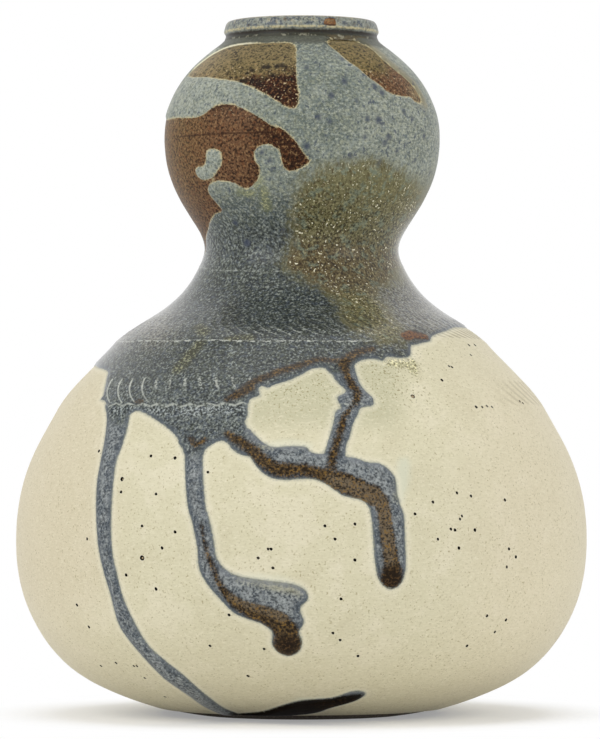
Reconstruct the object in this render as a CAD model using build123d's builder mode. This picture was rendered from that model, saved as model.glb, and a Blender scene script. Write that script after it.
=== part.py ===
from build123d import *
import os
from math import radians, tan

# Double-gourd stoneware vase, thrown in four sections, luted together, coated and fired.
# Millimetres, +Z up. The origin is the centre of the foot, on the surface that the vase stands on.
# The front of the vase faces -Y. Layers run outwards from the clay: a base coat (cream glaze below,
# iron slip above), then the blue overglaze, and beside it the ash flow and the runs.

# Thrown body, from the foot up: how far each place that the outline turns at stands above the one
# before it, and how far in or out from it
foot_radius = 45.0
belly_radius = 123.0
belly_height = 76.0
bowl_seam_inset = 18.8
bowl_seam_rise = 57.0
ridge_inset = 25.4
ridge_rise = 28.3
waist_seam_inset = 35.2
waist_seam_rise = 31.2
waist_inset = 2.7
waist_rise = 7.5
bulb_outset = 18.1
bulb_rise = 47.5
neck_foot_rise = 42.7

# Collar and its bevelled lip
mouth_radius = 25.8
collar_wall = 6.4
neck_flare = 0.8
neck_rise = 2.6
lip_overhang = 0.3
lip_crest_rise = 3.2
lip_top_rise = 2.9
lip_round = 1.8

# Wall, floor and foot ring
wall = 6.0
floor_thickness = 8.0
foot_ring_width = 8.0
foot_recess_depth = 1.6

# Coats and runs
base_coat = 0.5
overglaze = 0.6
liner_coat = 0.4
run_height = 1.3
bare_foot_height = 2.6
base_coat_split_rise = 10.7

# Luted joints: a thin layer of slip, flared where it meets the outside, and a coil behind two of them
slip_thickness = 1.0
seam_flare = 1.2
seam_slope = 18
bowl_coil_radius = 5.0
waist_coil_radius = 4.0

# Widths of the runs at their widest
left_run_width = 16.0
drip_width = 12.0
link_width = 8.0
foot_run_width = 9.0

# One overrun serves every cutting shape
overrun = 20.0

# Outline between two named places, as shares of the way in radius and in height
foot_to_belly_shares = [
    (0.145, 0.026), (0.300, 0.067), (0.515, 0.153), (0.677, 0.251), (0.783, 0.353),
    (0.896, 0.522), (0.963, 0.692),
]
belly_to_seam_shares = [(0.120, 0.360), (0.415, 0.645), (0.700, 0.825)]
seam_to_ridge_shares = [(0.236, 0.279), (0.441, 0.466), (0.642, 0.650), (0.843, 0.834)]
ridge_to_waist_seam_shares = [(0.230, 0.180), (0.475, 0.343), (0.673, 0.508), (0.820, 0.675), (0.924, 0.840)]
waist_to_bulb_shares = [(0.075, 0.130), (0.250, 0.245), (0.600, 0.460), (0.875, 0.695)]
bulb_to_neck_shares = [
    (0.035, 0.250), (0.145, 0.435), (0.315, 0.615), (0.588, 0.800), (0.800, 0.905), (0.915, 0.955),
]

# Places on the face of the vase: x as a share of the belly radius, z as a share of the height.
# The lower edge of the blue glaze starts and ends on the two sides, outside the outline.
blue_edge_front_shares = [
    (-1.20, 0.500), (-0.76, 0.488), (-0.69, 0.470), (-0.66, 0.446), (-0.61, 0.434), (-0.53, 0.437),
    (-0.44, 0.407), (-0.35, 0.381), (-0.27, 0.395), (-0.19, 0.380), (-0.16, 0.420), (-0.18, 0.445),
    (-0.09, 0.472), (0.00, 0.494), (0.10, 0.506), (0.21, 0.512), (0.31, 0.508), (0.43, 0.532),
    (0.59, 0.554), (1.20, 0.562),
]
blue_edge_back_shares = [
    (-1.20, 0.500), (-0.76, 0.488), (-0.66, 0.440), (-0.56, 0.430), (-0.43, 0.470), (-0.28, 0.486),
    (-0.12, 0.440), (0.02, 0.412), (0.14, 0.446), (0.30, 0.492), (0.46, 0.510), (0.59, 0.554),
    (1.20, 0.562),
]

# Places on the upper bulb and the waist: x as a share of the bulb radius, z as a share of the height
upper_left_patch_shares = [
    (-0.77, 0.922), (-0.54, 0.948), (-0.25, 0.950), (-0.06, 0.935), (-0.02, 0.895), (-0.10, 0.866),
    (-0.35, 0.893), (-0.63, 0.908),
]
upper_right_patch_shares = [
    (0.21, 0.950), (0.46, 0.955), (0.73, 0.926), (0.90, 0.885), (0.67, 0.884), (0.40, 0.914),
]
left_patch_shares = [
    (-1.08, 0.838), (-0.73, 0.853), (-0.46, 0.862), (-0.15, 0.832), (0.04, 0.788), (-0.08, 0.776),
    (-0.19, 0.805), (-0.31, 0.802), (-0.31, 0.760), (-0.58, 0.758), (-0.58, 0.722), (-0.69, 0.696),
    (-0.92, 0.668), (-1.17, 0.720), (-1.21, 0.790),
]
ash_flow_shares = [
    (0.15, 0.768), (0.56, 0.774), (0.83, 0.752), (0.71, 0.680), (0.56, 0.608), (0.65, 0.572),
    (0.71, 0.540), (0.52, 0.532), (0.29, 0.575), (0.13, 0.612), (-0.10, 0.640), (-0.04, 0.690),
    (-0.08, 0.740),
]

# Centre line of each run with its width there, as a share of the run's widest
left_run_shares = [
    (-0.615, 0.450, 1.00), (-0.632, 0.368, 0.38), (-0.657, 0.312, 0.45), (-0.655, 0.243, 0.50),
    (-0.602, 0.169, 0.62), (-0.515, 0.117, 0.85), (-0.432, 0.088, 1.00), (-0.340, 0.056, 0.80),
    (-0.258, 0.022, 0.55),
]
left_drip_shares = [
    (-0.355, 0.395, 0.90), (-0.354, 0.317, 0.70), (-0.325, 0.260, 0.80), (-0.277, 0.207, 0.85),
    (-0.200, 0.183, 0.95), (-0.110, 0.167, 1.00), (-0.055, 0.140, 0.85), (-0.040, 0.115, 0.60),
]
centre_drip_shares = [
    (-0.201, 0.400, 1.00), (-0.141, 0.372, 0.90), (-0.050, 0.358, 0.85), (0.050, 0.355, 0.80),
    (0.160, 0.342, 0.80), (0.245, 0.325, 0.90), (0.285, 0.290, 0.90), (0.291, 0.245, 0.85),
    (0.295, 0.204, 0.60),
]
link_run_shares = [
    (0.225, 0.530, 1.00), (0.180, 0.500, 0.80), (0.166, 0.477, 0.80), (0.190, 0.458, 1.00),
    (0.165, 0.430, 0.90), (0.131, 0.398, 0.80), (0.100, 0.352, 0.80),
]
foot_run_shares = [
    (-0.300, 0.030, 0.60), (-0.150, 0.026, 0.90), (0.000, 0.022, 1.00), (0.120, 0.028, 0.90),
    (0.210, 0.038, 0.50),
]
back_left_run_shares = [
    (-0.640, 0.450, 1.00), (-0.630, 0.370, 0.75), (-0.605, 0.300, 0.70), (-0.600, 0.220, 0.75),
    (-0.560, 0.160, 0.60),
]
back_drip_shares = [
    (0.230, 0.490, 1.00), (0.240, 0.390, 0.80), (0.260, 0.290, 0.75), (0.280, 0.210, 0.85),
    (0.275, 0.170, 0.60),
]
back_right_run_shares = [
    (0.610, 0.480, 1.00), (0.590, 0.400, 0.70), (0.560, 0.330, 0.75), (0.560, 0.280, 0.60),
]

os.makedirs("parts", exist_ok=True)


# Outline of the thrown body

def between(start, end, shares):
    """The start point, then the points at the given shares of the way to the end point."""
    (r0, z0), (r1, z1) = start, end
    return [start] + [(r0 + (r1 - r0) * sr, z0 + (z1 - z0) * sz) for sr, sz in shares]


bowl_seam_height = belly_height + bowl_seam_rise
ridge_height = bowl_seam_height + ridge_rise
waist_seam_height = ridge_height + waist_seam_rise
waist_height = waist_seam_height + waist_rise
bulb_height = waist_height + bulb_rise
neck_foot_height = bulb_height + neck_foot_rise
neck_height = neck_foot_height + neck_rise
lip_crest_height = neck_height + lip_crest_rise
clay_top = lip_crest_height + lip_top_rise
total_height = clay_top + base_coat + overglaze
base_coat_split_height = ridge_height + base_coat_split_rise
bowl_seam_radius = belly_radius - bowl_seam_inset
ridge_radius = bowl_seam_radius - ridge_inset
waist_seam_radius = ridge_radius - waist_seam_inset
waist_radius = waist_seam_radius - waist_inset
bulb_radius = waist_radius + bulb_outset
neck_radius = mouth_radius + collar_wall
lip_top_radius = mouth_radius + lip_round

foot = (foot_radius, 0)
belly = (belly_radius, belly_height)
bowl_seam = (bowl_seam_radius, bowl_seam_height)
ridge = (ridge_radius, ridge_height)
waist_seam = (waist_seam_radius, waist_seam_height)
waist = (waist_radius, waist_height)
bulb = (bulb_radius, bulb_height)
neck_foot = (neck_radius + neck_flare, neck_foot_height)
neck = (neck_radius, neck_height)
lip_crest = (neck_radius + lip_overhang, lip_crest_height)
lip_top = (lip_top_radius, clay_top)

bowl_span = between(foot, belly, foot_to_belly_shares) + between(belly, bowl_seam, belly_to_seam_shares)
shoulder_span = between(bowl_seam, ridge, seam_to_ridge_shares)
upper_span = (
    between(ridge, waist_seam, ridge_to_waist_seam_shares)
    + [waist_seam]
    + between(waist, bulb, waist_to_bulb_shares)
    + between(bulb, neck_foot, bulb_to_neck_shares)
)
collar_span = [neck_foot, neck, lip_crest, lip_top]
outline = bowl_span + shoulder_span + upper_span + collar_span
shoulder_start = len(bowl_span)
upper_start = shoulder_start + len(shoulder_span)
collar_start = upper_start + len(upper_span)
corners = [0, shoulder_start, upper_start, collar_start, len(outline) - 1]


def moved_out(points, distance):
    """Each point moved by a distance square to the line through its two neighbours."""
    moved = []
    for i, (r, z) in enumerate(points):
        r0, z0 = points[max(i - 1, 0)]
        r1, z1 = points[min(i + 1, len(points) - 1)]
        along = Vector(r1 - r0, z1 - z0).normalized()
        moved.append((r + along.Y * distance, z - along.X * distance))
    return moved


# Sections, drawn flat with the radius along X and the height along Y

def form_section(coat):
    """The whole form as if it were solid, its outline moved out by a coat."""
    points = moved_out(outline, coat)
    points[0] = foot
    points[-1] = (lip_top_radius, clay_top + coat)
    with BuildSketch() as section:
        with BuildLine():
            Polyline((0, clay_top + coat), (0, 0), foot)
            for start, end in zip(corners, corners[1:]):
                Spline(*points[start:end + 1])
            Line(points[-1], (0, clay_top + coat))
        make_face()
    return section.sketch


def hollow_section(coat):
    """The space inside, up through the mouth, with a coat of glaze on its wall."""
    inner = moved_out(outline, -wall - coat)
    rising = [(r, z) for r, z in inner[:collar_start] if z > floor_thickness + wall]
    throat = (mouth_radius - coat, neck_height)
    rim = (mouth_radius - coat, lip_crest_height)
    top = (lip_top_radius, clay_top + coat)
    above = total_height + overrun
    with BuildSketch() as section:
        with BuildLine():
            floor_line = Line((0, floor_thickness + coat), (foot_radius - wall, floor_thickness + coat))
            bend = Spline(floor_line @ 1, *rising, throat, tangents=[(1, 0), (0, 1)])
            Line(bend @ 1, rim)
            TangentArc(rim, top, tangent=(0, 1))
            Polyline(top, (lip_top_radius, above), (0, above), floor_line @ 0)
        make_face()
    return section.sketch


def coil_disc(seam, coil_radius):
    """A round coil centred on the inner face of the wall at a joint."""
    with BuildSketch(Plane(origin=(seam[0] - wall, seam[1], 0))) as section:
        Circle(coil_radius)
    return section.sketch


def free_space(coat):
    """The space inside that the wall, the coils and a coat of glaze on them leave free."""
    with BuildSketch() as section:
        add(hollow_section(coat))
        add(coil_disc(bowl_seam, bowl_coil_radius + coat), mode=Mode.SUBTRACT)
        add(coil_disc(waist_seam, waist_coil_radius + coat), mode=Mode.SUBTRACT)
    return section.sketch


def seam_section(seam):
    """Slip in one joint, sloping down to the inside and flared where it meets the outside."""
    reach = 3 * wall
    half = slip_thickness / 2
    flared = half + 2 * seam_flare
    slanted = Plane(origin=(*seam, 0), x_dir=(1, tan(radians(seam_slope)), 0))
    with BuildSketch(slanted) as section:
        with BuildLine():
            Polyline(
                (-reach, half), (-seam_flare, half), (seam_flare, flared),
                (seam_flare, -flared), (-seam_flare, -half), (-reach, -half), close=True,
            )
        make_face()
    return section.sketch


def band(low, high):
    """Everything between two heights."""
    with BuildSketch() as section:
        with Locations((0, low)):
            Rectangle(belly_radius + overrun, high - low, align=(Align.MIN, Align.MIN))
    return section.sketch


# Flat shapes as seen from the front, with x along X and height along Y

def bulb_patch(shares):
    """A closed smooth outline on the upper bulb."""
    with BuildSketch() as shape:
        with BuildLine():
            Spline(*[(x * bulb_radius, z * total_height) for x, z in shares], periodic=True)
        make_face()
    return shape.sketch


def above_edge(shares):
    """Everything above a wavy edge that runs from one side to the other."""
    points = [(x * belly_radius, z * total_height) for x, z in shares]
    above = total_height + overrun
    with BuildSketch() as shape:
        with BuildLine():
            edge = Spline(*points)
            Polyline(edge @ 1, (points[-1][0], above), (points[0][0], above), edge @ 0)
        make_face()
    return shape.sketch


def run_shape(shares, widest):
    """A run of glaze: half its width on each side of its centre line, and a round tip."""
    centres = [Vector(x * belly_radius, z * total_height) for x, z, _ in shares]
    left = []
    right = []
    for i, (_, _, width_share) in enumerate(shares):
        along = (centres[min(i + 1, len(centres) - 1)] - centres[max(i - 1, 0)]).normalized()
        side = Vector(-along.Y, along.X) * (width_share * widest / 2)
        left.append(centres[i] + side)
        right.append(centres[i] - side)
    tip = centres[-1] + along * (width_share * widest / 2)
    with BuildSketch() as shape:
        with BuildLine():
            left_side = Spline(*left)
            ThreePointArc(left_side @ 1, tip, right[-1])
            right_side = Spline(*reversed(right))
            Line(right_side @ 1, left_side @ 0)
        make_face()
    return shape.sketch


# Sections shared by several pieces

hollow = hollow_section(0)
base_form = form_section(base_coat)
over_form = form_section(base_coat + overglaze)
reach = belly_radius + overrun

with BuildSketch() as wall_section:
    add(form_section(0))
    add(hollow, mode=Mode.SUBTRACT)
    recess_width = 2 * (foot_radius - foot_ring_width)
    Rectangle(recess_width, 2 * foot_recess_depth, mode=Mode.SUBTRACT)

with BuildSketch() as thrown_section:
    add(wall_section.sketch)
    for seam in (bowl_seam, waist_seam, neck_foot):
        add(seam_section(seam), mode=Mode.SUBTRACT)
bowl_face, shoulder_face, bulb_face, collar_face = thrown_section.faces().sort_by(Axis.Y)

with BuildSketch() as base_section:
    add(base_form)
    add(form_section(0), mode=Mode.SUBTRACT)
    add(hollow, mode=Mode.SUBTRACT)

with BuildSketch() as over_section:
    add(over_form)
    add(base_form, mode=Mode.SUBTRACT)
    add(hollow, mode=Mode.SUBTRACT)

with BuildSketch() as run_section:
    add(form_section(base_coat + run_height))
    add(base_form, mode=Mode.SUBTRACT)
    add(band(bare_foot_height, base_coat_split_height), mode=Mode.INTERSECT)


# Thrown sections

with BuildPart() as lower_bowl:
    with BuildSketch(Plane.XZ):
        add(bowl_face)
    revolve(axis=Axis.Z)
lower_bowl.part.label = "lower_bowl"
export_step(lower_bowl.part, "parts/lower_bowl.step")

with BuildPart() as shoulder_section:
    with BuildSketch(Plane.XZ):
        add(shoulder_face)
    revolve(axis=Axis.Z)
shoulder_section.part.label = "shoulder_section"
export_step(shoulder_section.part, "parts/shoulder_section.step")

with BuildPart() as upper_bulb:
    with BuildSketch(Plane.XZ):
        add(bulb_face)
    revolve(axis=Axis.Z)
upper_bulb.part.label = "upper_bulb"
export_step(upper_bulb.part, "parts/upper_bulb.step")

with BuildPart() as collar:
    with BuildSketch(Plane.XZ):
        add(collar_face)
    revolve(axis=Axis.Z)
collar.part.label = "collar"
export_step(collar.part, "parts/collar.step")


# Slip in the three joints

for seam, seam_name in (
    (bowl_seam, "bowl_seam_slip"), (waist_seam, "waist_seam_slip"), (neck_foot, "collar_seam_slip"),
):
    with BuildPart() as seam_slip:
        with BuildSketch(Plane.XZ):
            add(wall_section.sketch)
            add(seam_section(seam), mode=Mode.INTERSECT)
        revolve(axis=Axis.Z)
    seam_slip.part.label = seam_name
    export_step(seam_slip.part, f"parts/{seam_name}.step")


# Coils pressed in behind the two joints that carry weight

for seam, coil_radius, coil_name in (
    (bowl_seam, bowl_coil_radius, "bowl_seam_coil"), (waist_seam, waist_coil_radius, "waist_seam_coil"),
):
    with BuildPart() as seam_coil:
        with BuildSketch(Plane.XZ):
            add(coil_disc(seam, coil_radius))
            add(hollow, mode=Mode.INTERSECT)
        revolve(axis=Axis.Z)
    seam_coil.part.label = coil_name
    export_step(seam_coil.part, f"parts/{coil_name}.step")


# Glaze inside

with BuildPart() as liner_glaze:
    with BuildSketch(Plane.XZ):
        add(free_space(0))
        add(free_space(liner_coat), mode=Mode.SUBTRACT)
    revolve(axis=Axis.Z)
liner_glaze.part.label = "liner_glaze"
export_step(liner_glaze.part, "parts/liner_glaze.step")


# Base coats outside: cream below the split, iron slip above it

for low, high, coat_name in (
    (bare_foot_height, base_coat_split_height, "cream_glaze"),
    (base_coat_split_height, total_height, "iron_slip"),
):
    with BuildPart() as coat:
        with BuildSketch(Plane.XZ):
            add(base_section.sketch)
            add(band(low, high), mode=Mode.INTERSECT)
        revolve(axis=Axis.Z)
    coat.part.label = coat_name
    export_step(coat.part, f"parts/{coat_name}.step")


# Blue overglaze, open where the coat below shows, and the ash flow that fills one opening

with BuildPart() as blue_zone:
    with BuildSketch(Plane.XZ):
        add(above_edge(blue_edge_front_shares))
    extrude(amount=reach)
    with BuildSketch(Plane.XZ):
        add(above_edge(blue_edge_back_shares))
    extrude(amount=-reach)

with BuildPart() as ash_zone:
    with BuildSketch(Plane.XZ):
        add(bulb_patch(ash_flow_shares))
    extrude(amount=reach)

with BuildPart() as overglaze_skin:
    with BuildSketch(Plane.XZ):
        add(over_section.sketch)
    revolve(axis=Axis.Z)

with BuildPart() as blue_glaze:
    add(overglaze_skin.part)
    add(blue_zone.part, mode=Mode.INTERSECT)
    add(ash_zone.part, mode=Mode.SUBTRACT)
    with BuildSketch(Plane.XZ):
        add(bulb_patch(upper_left_patch_shares))
        add(bulb_patch(upper_right_patch_shares))
        add(bulb_patch(left_patch_shares))
    extrude(amount=reach, mode=Mode.SUBTRACT)
blue_glaze.part.label = "blue_glaze"
export_step(blue_glaze.part, "parts/blue_glaze.step")

with BuildPart() as ash_glaze_flow:
    add(overglaze_skin.part)
    add(ash_zone.part, mode=Mode.INTERSECT)
ash_glaze_flow.part.label = "ash_glaze_flow"
export_step(ash_glaze_flow.part, "parts/ash_glaze_flow.step")


# Runs that came down over the cream glaze, each cut off where it meets the blue glaze or another run

with BuildPart() as run_skin:
    with BuildSketch(Plane.XZ):
        add(run_section.sketch)
    revolve(axis=Axis.Z)

taken = [blue_zone.part]
for shares, widest, depth, run_name in (
    (left_run_shares, left_run_width, reach, "left_run"),
    (left_drip_shares, drip_width, reach, "left_drip"),
    (centre_drip_shares, drip_width, reach, "centre_drip"),
    (link_run_shares, link_width, reach, "link_run"),
    (foot_run_shares, foot_run_width, reach, "foot_run"),
    (back_left_run_shares, drip_width, -reach, "back_left_run"),
    (back_drip_shares, drip_width, -reach, "back_drip"),
    (back_right_run_shares, drip_width, -reach, "back_right_run"),
):
    with BuildPart() as run:
        add(run_skin.part)
        with BuildSketch(Plane.XZ):
            add(run_shape(shares, widest))
        extrude(amount=depth, mode=Mode.INTERSECT)
        for other in taken:
            add(other, mode=Mode.SUBTRACT)
    run.part.label = run_name
    export_step(run.part, f"parts/{run_name}.step")
    taken.append(run.part)
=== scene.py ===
import math
from functools import partial

import bpy
import numpy as np
from mathutils import Matrix, Vector, noise
from mathutils.bvhtree import BVHTree


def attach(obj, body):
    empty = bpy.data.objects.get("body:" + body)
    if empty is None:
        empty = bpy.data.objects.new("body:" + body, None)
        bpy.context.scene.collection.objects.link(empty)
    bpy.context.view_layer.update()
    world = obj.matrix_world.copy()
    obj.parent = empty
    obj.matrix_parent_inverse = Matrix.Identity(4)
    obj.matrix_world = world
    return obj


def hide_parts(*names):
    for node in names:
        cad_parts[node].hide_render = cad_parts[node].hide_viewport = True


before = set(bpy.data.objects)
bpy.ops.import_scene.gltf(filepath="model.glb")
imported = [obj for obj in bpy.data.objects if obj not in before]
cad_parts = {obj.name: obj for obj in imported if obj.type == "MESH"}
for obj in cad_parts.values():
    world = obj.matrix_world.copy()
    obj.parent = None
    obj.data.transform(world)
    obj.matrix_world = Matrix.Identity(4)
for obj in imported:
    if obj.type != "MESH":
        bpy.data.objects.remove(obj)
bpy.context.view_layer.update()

scene = bpy.context.scene
mm = 0.001


# Camera: a long lens, nearly level, as far off as the photograph's flat ellipses say
cameraSetup = {
    "distance": 1951.0,      # mm from the vase's axis
    "height": 118.4,         # mm above the table: the level at which rings look flat
    "aimHeight": 148.9,      # mm up the axis, seen at the middle of the picture
    "aimSide": -0.6,         # mm
    "lens": 219.16,          # mm, on a 36 mm sensor along the picture's long side
    "sensor": 36.0,
    "clip": (0.05, 20),      # m
    "photoWidth": 600,
    "photoHeight": 739,
    "searchFrom": 130,       # mm nearer than the axis, where the search along a pixel's ray starts
    "searchTo": 10,          # mm past the axis, where it ends
    "searchSteps": 2801,
}


def makeCamera(setup):
    data = bpy.data.cameras.new("photoCamera")
    data.lens = setup["lens"]
    data.sensor_width = setup["sensor"]
    data.clip_start, data.clip_end = setup["clip"]
    camera = bpy.data.objects.new("photoCamera", data)
    scene.collection.objects.link(camera)
    place = Vector((0, -setup["distance"], setup["height"])) * mm
    aim = Vector((setup["aimSide"], 0, setup["aimHeight"])) * mm
    turn = (aim - place).to_track_quat("-Z", "Y")
    camera.matrix_world = Matrix.Translation(place) @ turn.to_matrix().to_4x4()
    scene.camera = camera
    return place, np.array(turn.to_matrix())


eye, eyeTurn = makeCamera(cameraSetup)
print("camera set")


# The thrown form: how far out the base coats reach at each height, read off the frame
form = {
    "step": 0.2, "lowest": 2.7, "highest": 299.8,     # mm
    "softening": 2.2, "lipSoftening": 0.5,            # mm over which facets are evened out
    "tails": 3,                                       # times as far as the softening still counts
    "lipFrom": 287.0,                                 # mm of height at which the lip's softening starts
    "rayFrom": 200.0, "rayAside": 0.4,                # mm: where each ray starts, clear of seams
}


def readForm(setup):
    shapes = bpy.context.evaluated_depsgraph_get()
    skins = [BVHTree.FromObject(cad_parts[name], shapes) for name in ("cream_glaze", "iron_slip")]
    heights = np.arange(setup["lowest"], setup["highest"], setup["step"])
    radii = []
    for height in heights:
        reach = 0
        for skin in skins:
            start = Vector([length * mm for length in (setup["rayFrom"], setup["rayAside"], height)])
            spot = skin.ray_cast(start, Vector((-1, 0, 0)))[0]
            if spot:
                reach = max(reach, spot.xy.length / mm)
        radii.append(reach)
    radii = np.array(radii)
    for softening, low, high in (
        (setup["softening"], setup["lowest"], setup["lipFrom"]),
        (setup["lipSoftening"], setup["lipFrom"], setup["highest"]),
    ):
        spread = softening / setup["step"]
        tail = int(setup["tails"] * spread)
        offsets = np.arange(-tail, tail + 1)
        weights = np.exp(-0.5 * (offsets / spread) ** 2)
        padded = np.pad(radii, len(offsets) // 2, mode="reflect", reflect_type="odd")
        soft = np.convolve(padded, weights / weights.sum(), mode="valid")
        inside = (heights >= low) & (heights < high)
        radii = np.where(inside, soft, radii)
    return heights, radii


formHeights, formRadii = readForm(form)
formWay = np.concatenate(([0], np.cumsum(np.hypot(np.diff(formHeights), np.diff(formRadii)))))
formRise = np.gradient(formHeights, formWay)
formSpread = np.gradient(formRadii, formWay)


def wayAt(height):
    return np.interp(height, formHeights, formWay)


def heightAt(way):
    return np.interp(way, formWay, formHeights)


def radiusAt(height):
    return np.interp(height, formHeights, formRadii)


# A place on the vase is (turn, way): turn in radians round from the front, to the right,
# and way in mm up along the outline from the foot
def placesOf(pixels):
    setup = cameraSetup
    focal = setup["lens"] / setup["sensor"] * setup["photoHeight"]
    nearest, farthest = setup["distance"] - setup["searchFrom"], setup["distance"] + setup["searchTo"]
    steps = np.linspace(nearest, farthest, setup["searchSteps"])
    places = []
    for across, down in pixels:
        ray = eyeTurn @ np.array([
            (across - setup["photoWidth"] / 2) / focal, (setup["photoHeight"] / 2 - down) / focal, -1
        ])
        spots = np.array(eye)[:, None] / mm + ray[:, None] / ray[1] * steps
        over = np.hypot(spots[0], spots[1]) - radiusAt(spots[2])
        hit = np.argmax(over < 0) if (over < 0).any() else np.argmin(over)
        x, y, z = spots[:, hit]
        places.append((math.atan2(x, -y), wayAt(z)))
    return np.array(places)


def placesRound(turnsAndHeights):
    return np.array([(math.radians(turn), wayAt(height)) for turn, height in turnsAndHeights])


stepsBetween = 4         # short steps from one place of a smooth line to the next


def smoothLine(places, closed):
    # a curve through every place
    count = len(places)
    line = []
    for i in range(count if closed else count - 1):
        if closed:
            a, b, c, d = (places[(i + k) % count] for k in (-1, 0, 1, 2))
        else:
            a, b, c, d = (places[min(max(i + k, 0), count - 1)] for k in (-1, 0, 1, 2))
        for t in np.arange(stepsBetween) / stepsBetween:
            line.append(
                b + 0.5 * t * (c - a + t * (2 * a - 5 * b + 4 * c - d + t * (3 * (b - c) + d - a)))
            )
    line.append(places[0] if closed else places[-1])
    return np.array(line)


def stripOutline(stops):
    # the outline of a run from stops of (degrees, height, half width)
    centres = placesRound([stop[:2] for stop in stops])
    radii = radiusAt(heightAt(centres[:, 1]))
    flat = np.stack([centres[:, 0] * radii, centres[:, 1]], axis=1)
    along = np.gradient(flat, axis=0)
    along /= np.linalg.norm(along, axis=1)[:, None]
    half = np.array([stop[2] for stop in stops])[:, None]
    side = np.stack([-along[:, 1], along[:, 0]], axis=1) * half
    tip = flat[-1] + along[-1] * half[-1]
    ring = np.concatenate([flat + side, [tip], (flat - side)[::-1]])
    ringRadii = np.concatenate([radii, radii[-1:], radii[::-1]])
    return np.stack([ring[:, 0] / ringRadii, ring[:, 1]], axis=1)


def turnFrom(start, turn):
    # radians from one turn on to another, the short way round
    return (start - turn + math.pi) % (2 * math.pi) - math.pi


def nearestOn(turn, way, radius, placeA, placeB):
    # mm from each place to the start of a stretch, the stretch in mm, and how far along it is nearest
    ax = turnFrom(placeA[0], turn) * radius
    ay = placeA[1] - way
    dx = (placeB[0] - placeA[0]) * radius
    dy = placeB[1] - placeA[1]
    t = np.clip(-(ax * dx + ay * dy) / (dx * dx + dy * dy + 1e-9), 0, 1)
    return ax, ay, dx, dy, t


outlineReach = 24.0      # mm from an outline's edge, past which depths stay the same
streakReach = 12.0       # the same for streaks


def depthInside(turn, way, line):
    # mm inside (+) or outside (-) of a line on the surface, and the way to its edge
    depth = np.full(turn.shape, -outlineReach)
    toEdge = np.zeros((2,) + turn.shape)
    radius = radiusAt(heightAt(way))
    middle = line[:, 0].mean()
    spread = (line[:, 0].max() - line[:, 0].min()) / 2
    lowest, highest = line[:, 1].min(), line[:, 1].max()
    near = (np.abs(turnFrom(turn, middle)) - spread) * radius < outlineReach
    near &= (way > lowest - outlineReach) & (way < highest + outlineReach)
    goesRound = spread > 3      # radians
    if goesRound:
        depth[way > highest] = outlineReach
    turn, way, radius = turn[near], way[near], radius[near]
    nearest = np.full(turn.shape, 1e9)
    edge = np.zeros((2,) + turn.shape)
    inside = np.zeros(turn.shape, dtype=bool)
    for (turnA, wayA), (turnB, wayB) in zip(line, line[1:]):
        ax, ay, dx, dy, t = nearestOn(turn, way, radius, (turnA, wayA), (turnB, wayB))
        px = ax + t * dx
        py = ay + t * dy
        gap = px * px + py * py
        closer = gap < nearest
        nearest = np.where(closer, gap, nearest)
        edge = np.where(closer, (px, py), edge)
        crosses = (ax < 0) != (ax + dx < 0)
        inside ^= crosses & (ay - ax / np.where(crosses, dx, 1) * dy < 0)
    nearest = np.minimum(np.sqrt(nearest), outlineReach)
    depth[near] = np.where(inside, nearest, -nearest)
    toEdge[:, near] = edge
    return depth, toEdge


def depthInStreaks(turn, way, streaks):
    # mm inside (+) or outside (-) of streaks, which are lines of (turn, way, half width)
    depth = np.full(turn.shape, -streakReach)
    radius = radiusAt(heightAt(way))
    for streak in streaks:
        for (*placeA, halfA), (*placeB, halfB) in zip(streak, streak[1:]):
            ax, ay, dx, dy, t = nearestOn(turn, way, radius, placeA, placeB)
            half = halfA + t * (halfB - halfA)
            depth = np.maximum(depth, half - np.hypot(ax + t * dx, ay + t * dy))
    return depth


# Where the glazes lie. Outlines on the front are in the photograph's pixels, those round the back
# in degrees from the front and mm of height.
blueEdgeFront = [
    (90, 366), (99, 368), (107, 371), (107, 377), (103, 394), (100, 399), (105, 402), (107, 409),
    (108, 422), (125, 426), (130, 415), (137, 411), (144, 413), (156, 420), (167, 428), (175, 435),
    (182, 447), (186, 456), (202, 456), (205, 450), (213, 444), (221, 441), (227, 443), (233, 450),
    (241, 453), (247, 442), (247, 428), (245, 422), (248, 415), (248, 407), (251, 399), (260, 396),
    (259, 390), (261, 386), (268, 388), (274, 385), (290, 380), (301, 375), (312, 369), (324, 368),
    (331, 374), (342, 374), (352, 368), (358, 362), (364, 360), (373, 359), (383, 361), (387, 357),
    (400, 358), (408, 357), (411, 354), (411, 346), (415, 345), (423, 343), (430, 341), (433, 336),
    (446, 331), (458, 327),
]
blueEdgeBack = [
    (100, 166), (113, 160), (121, 154), (129, 147), (137, 151), (145, 153), (156, 148), (168, 134),
    (179, 124), (189, 131), (201, 146), (213, 141), (222, 130), (232, 131), (245, 140), (257, 146),
]
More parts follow.
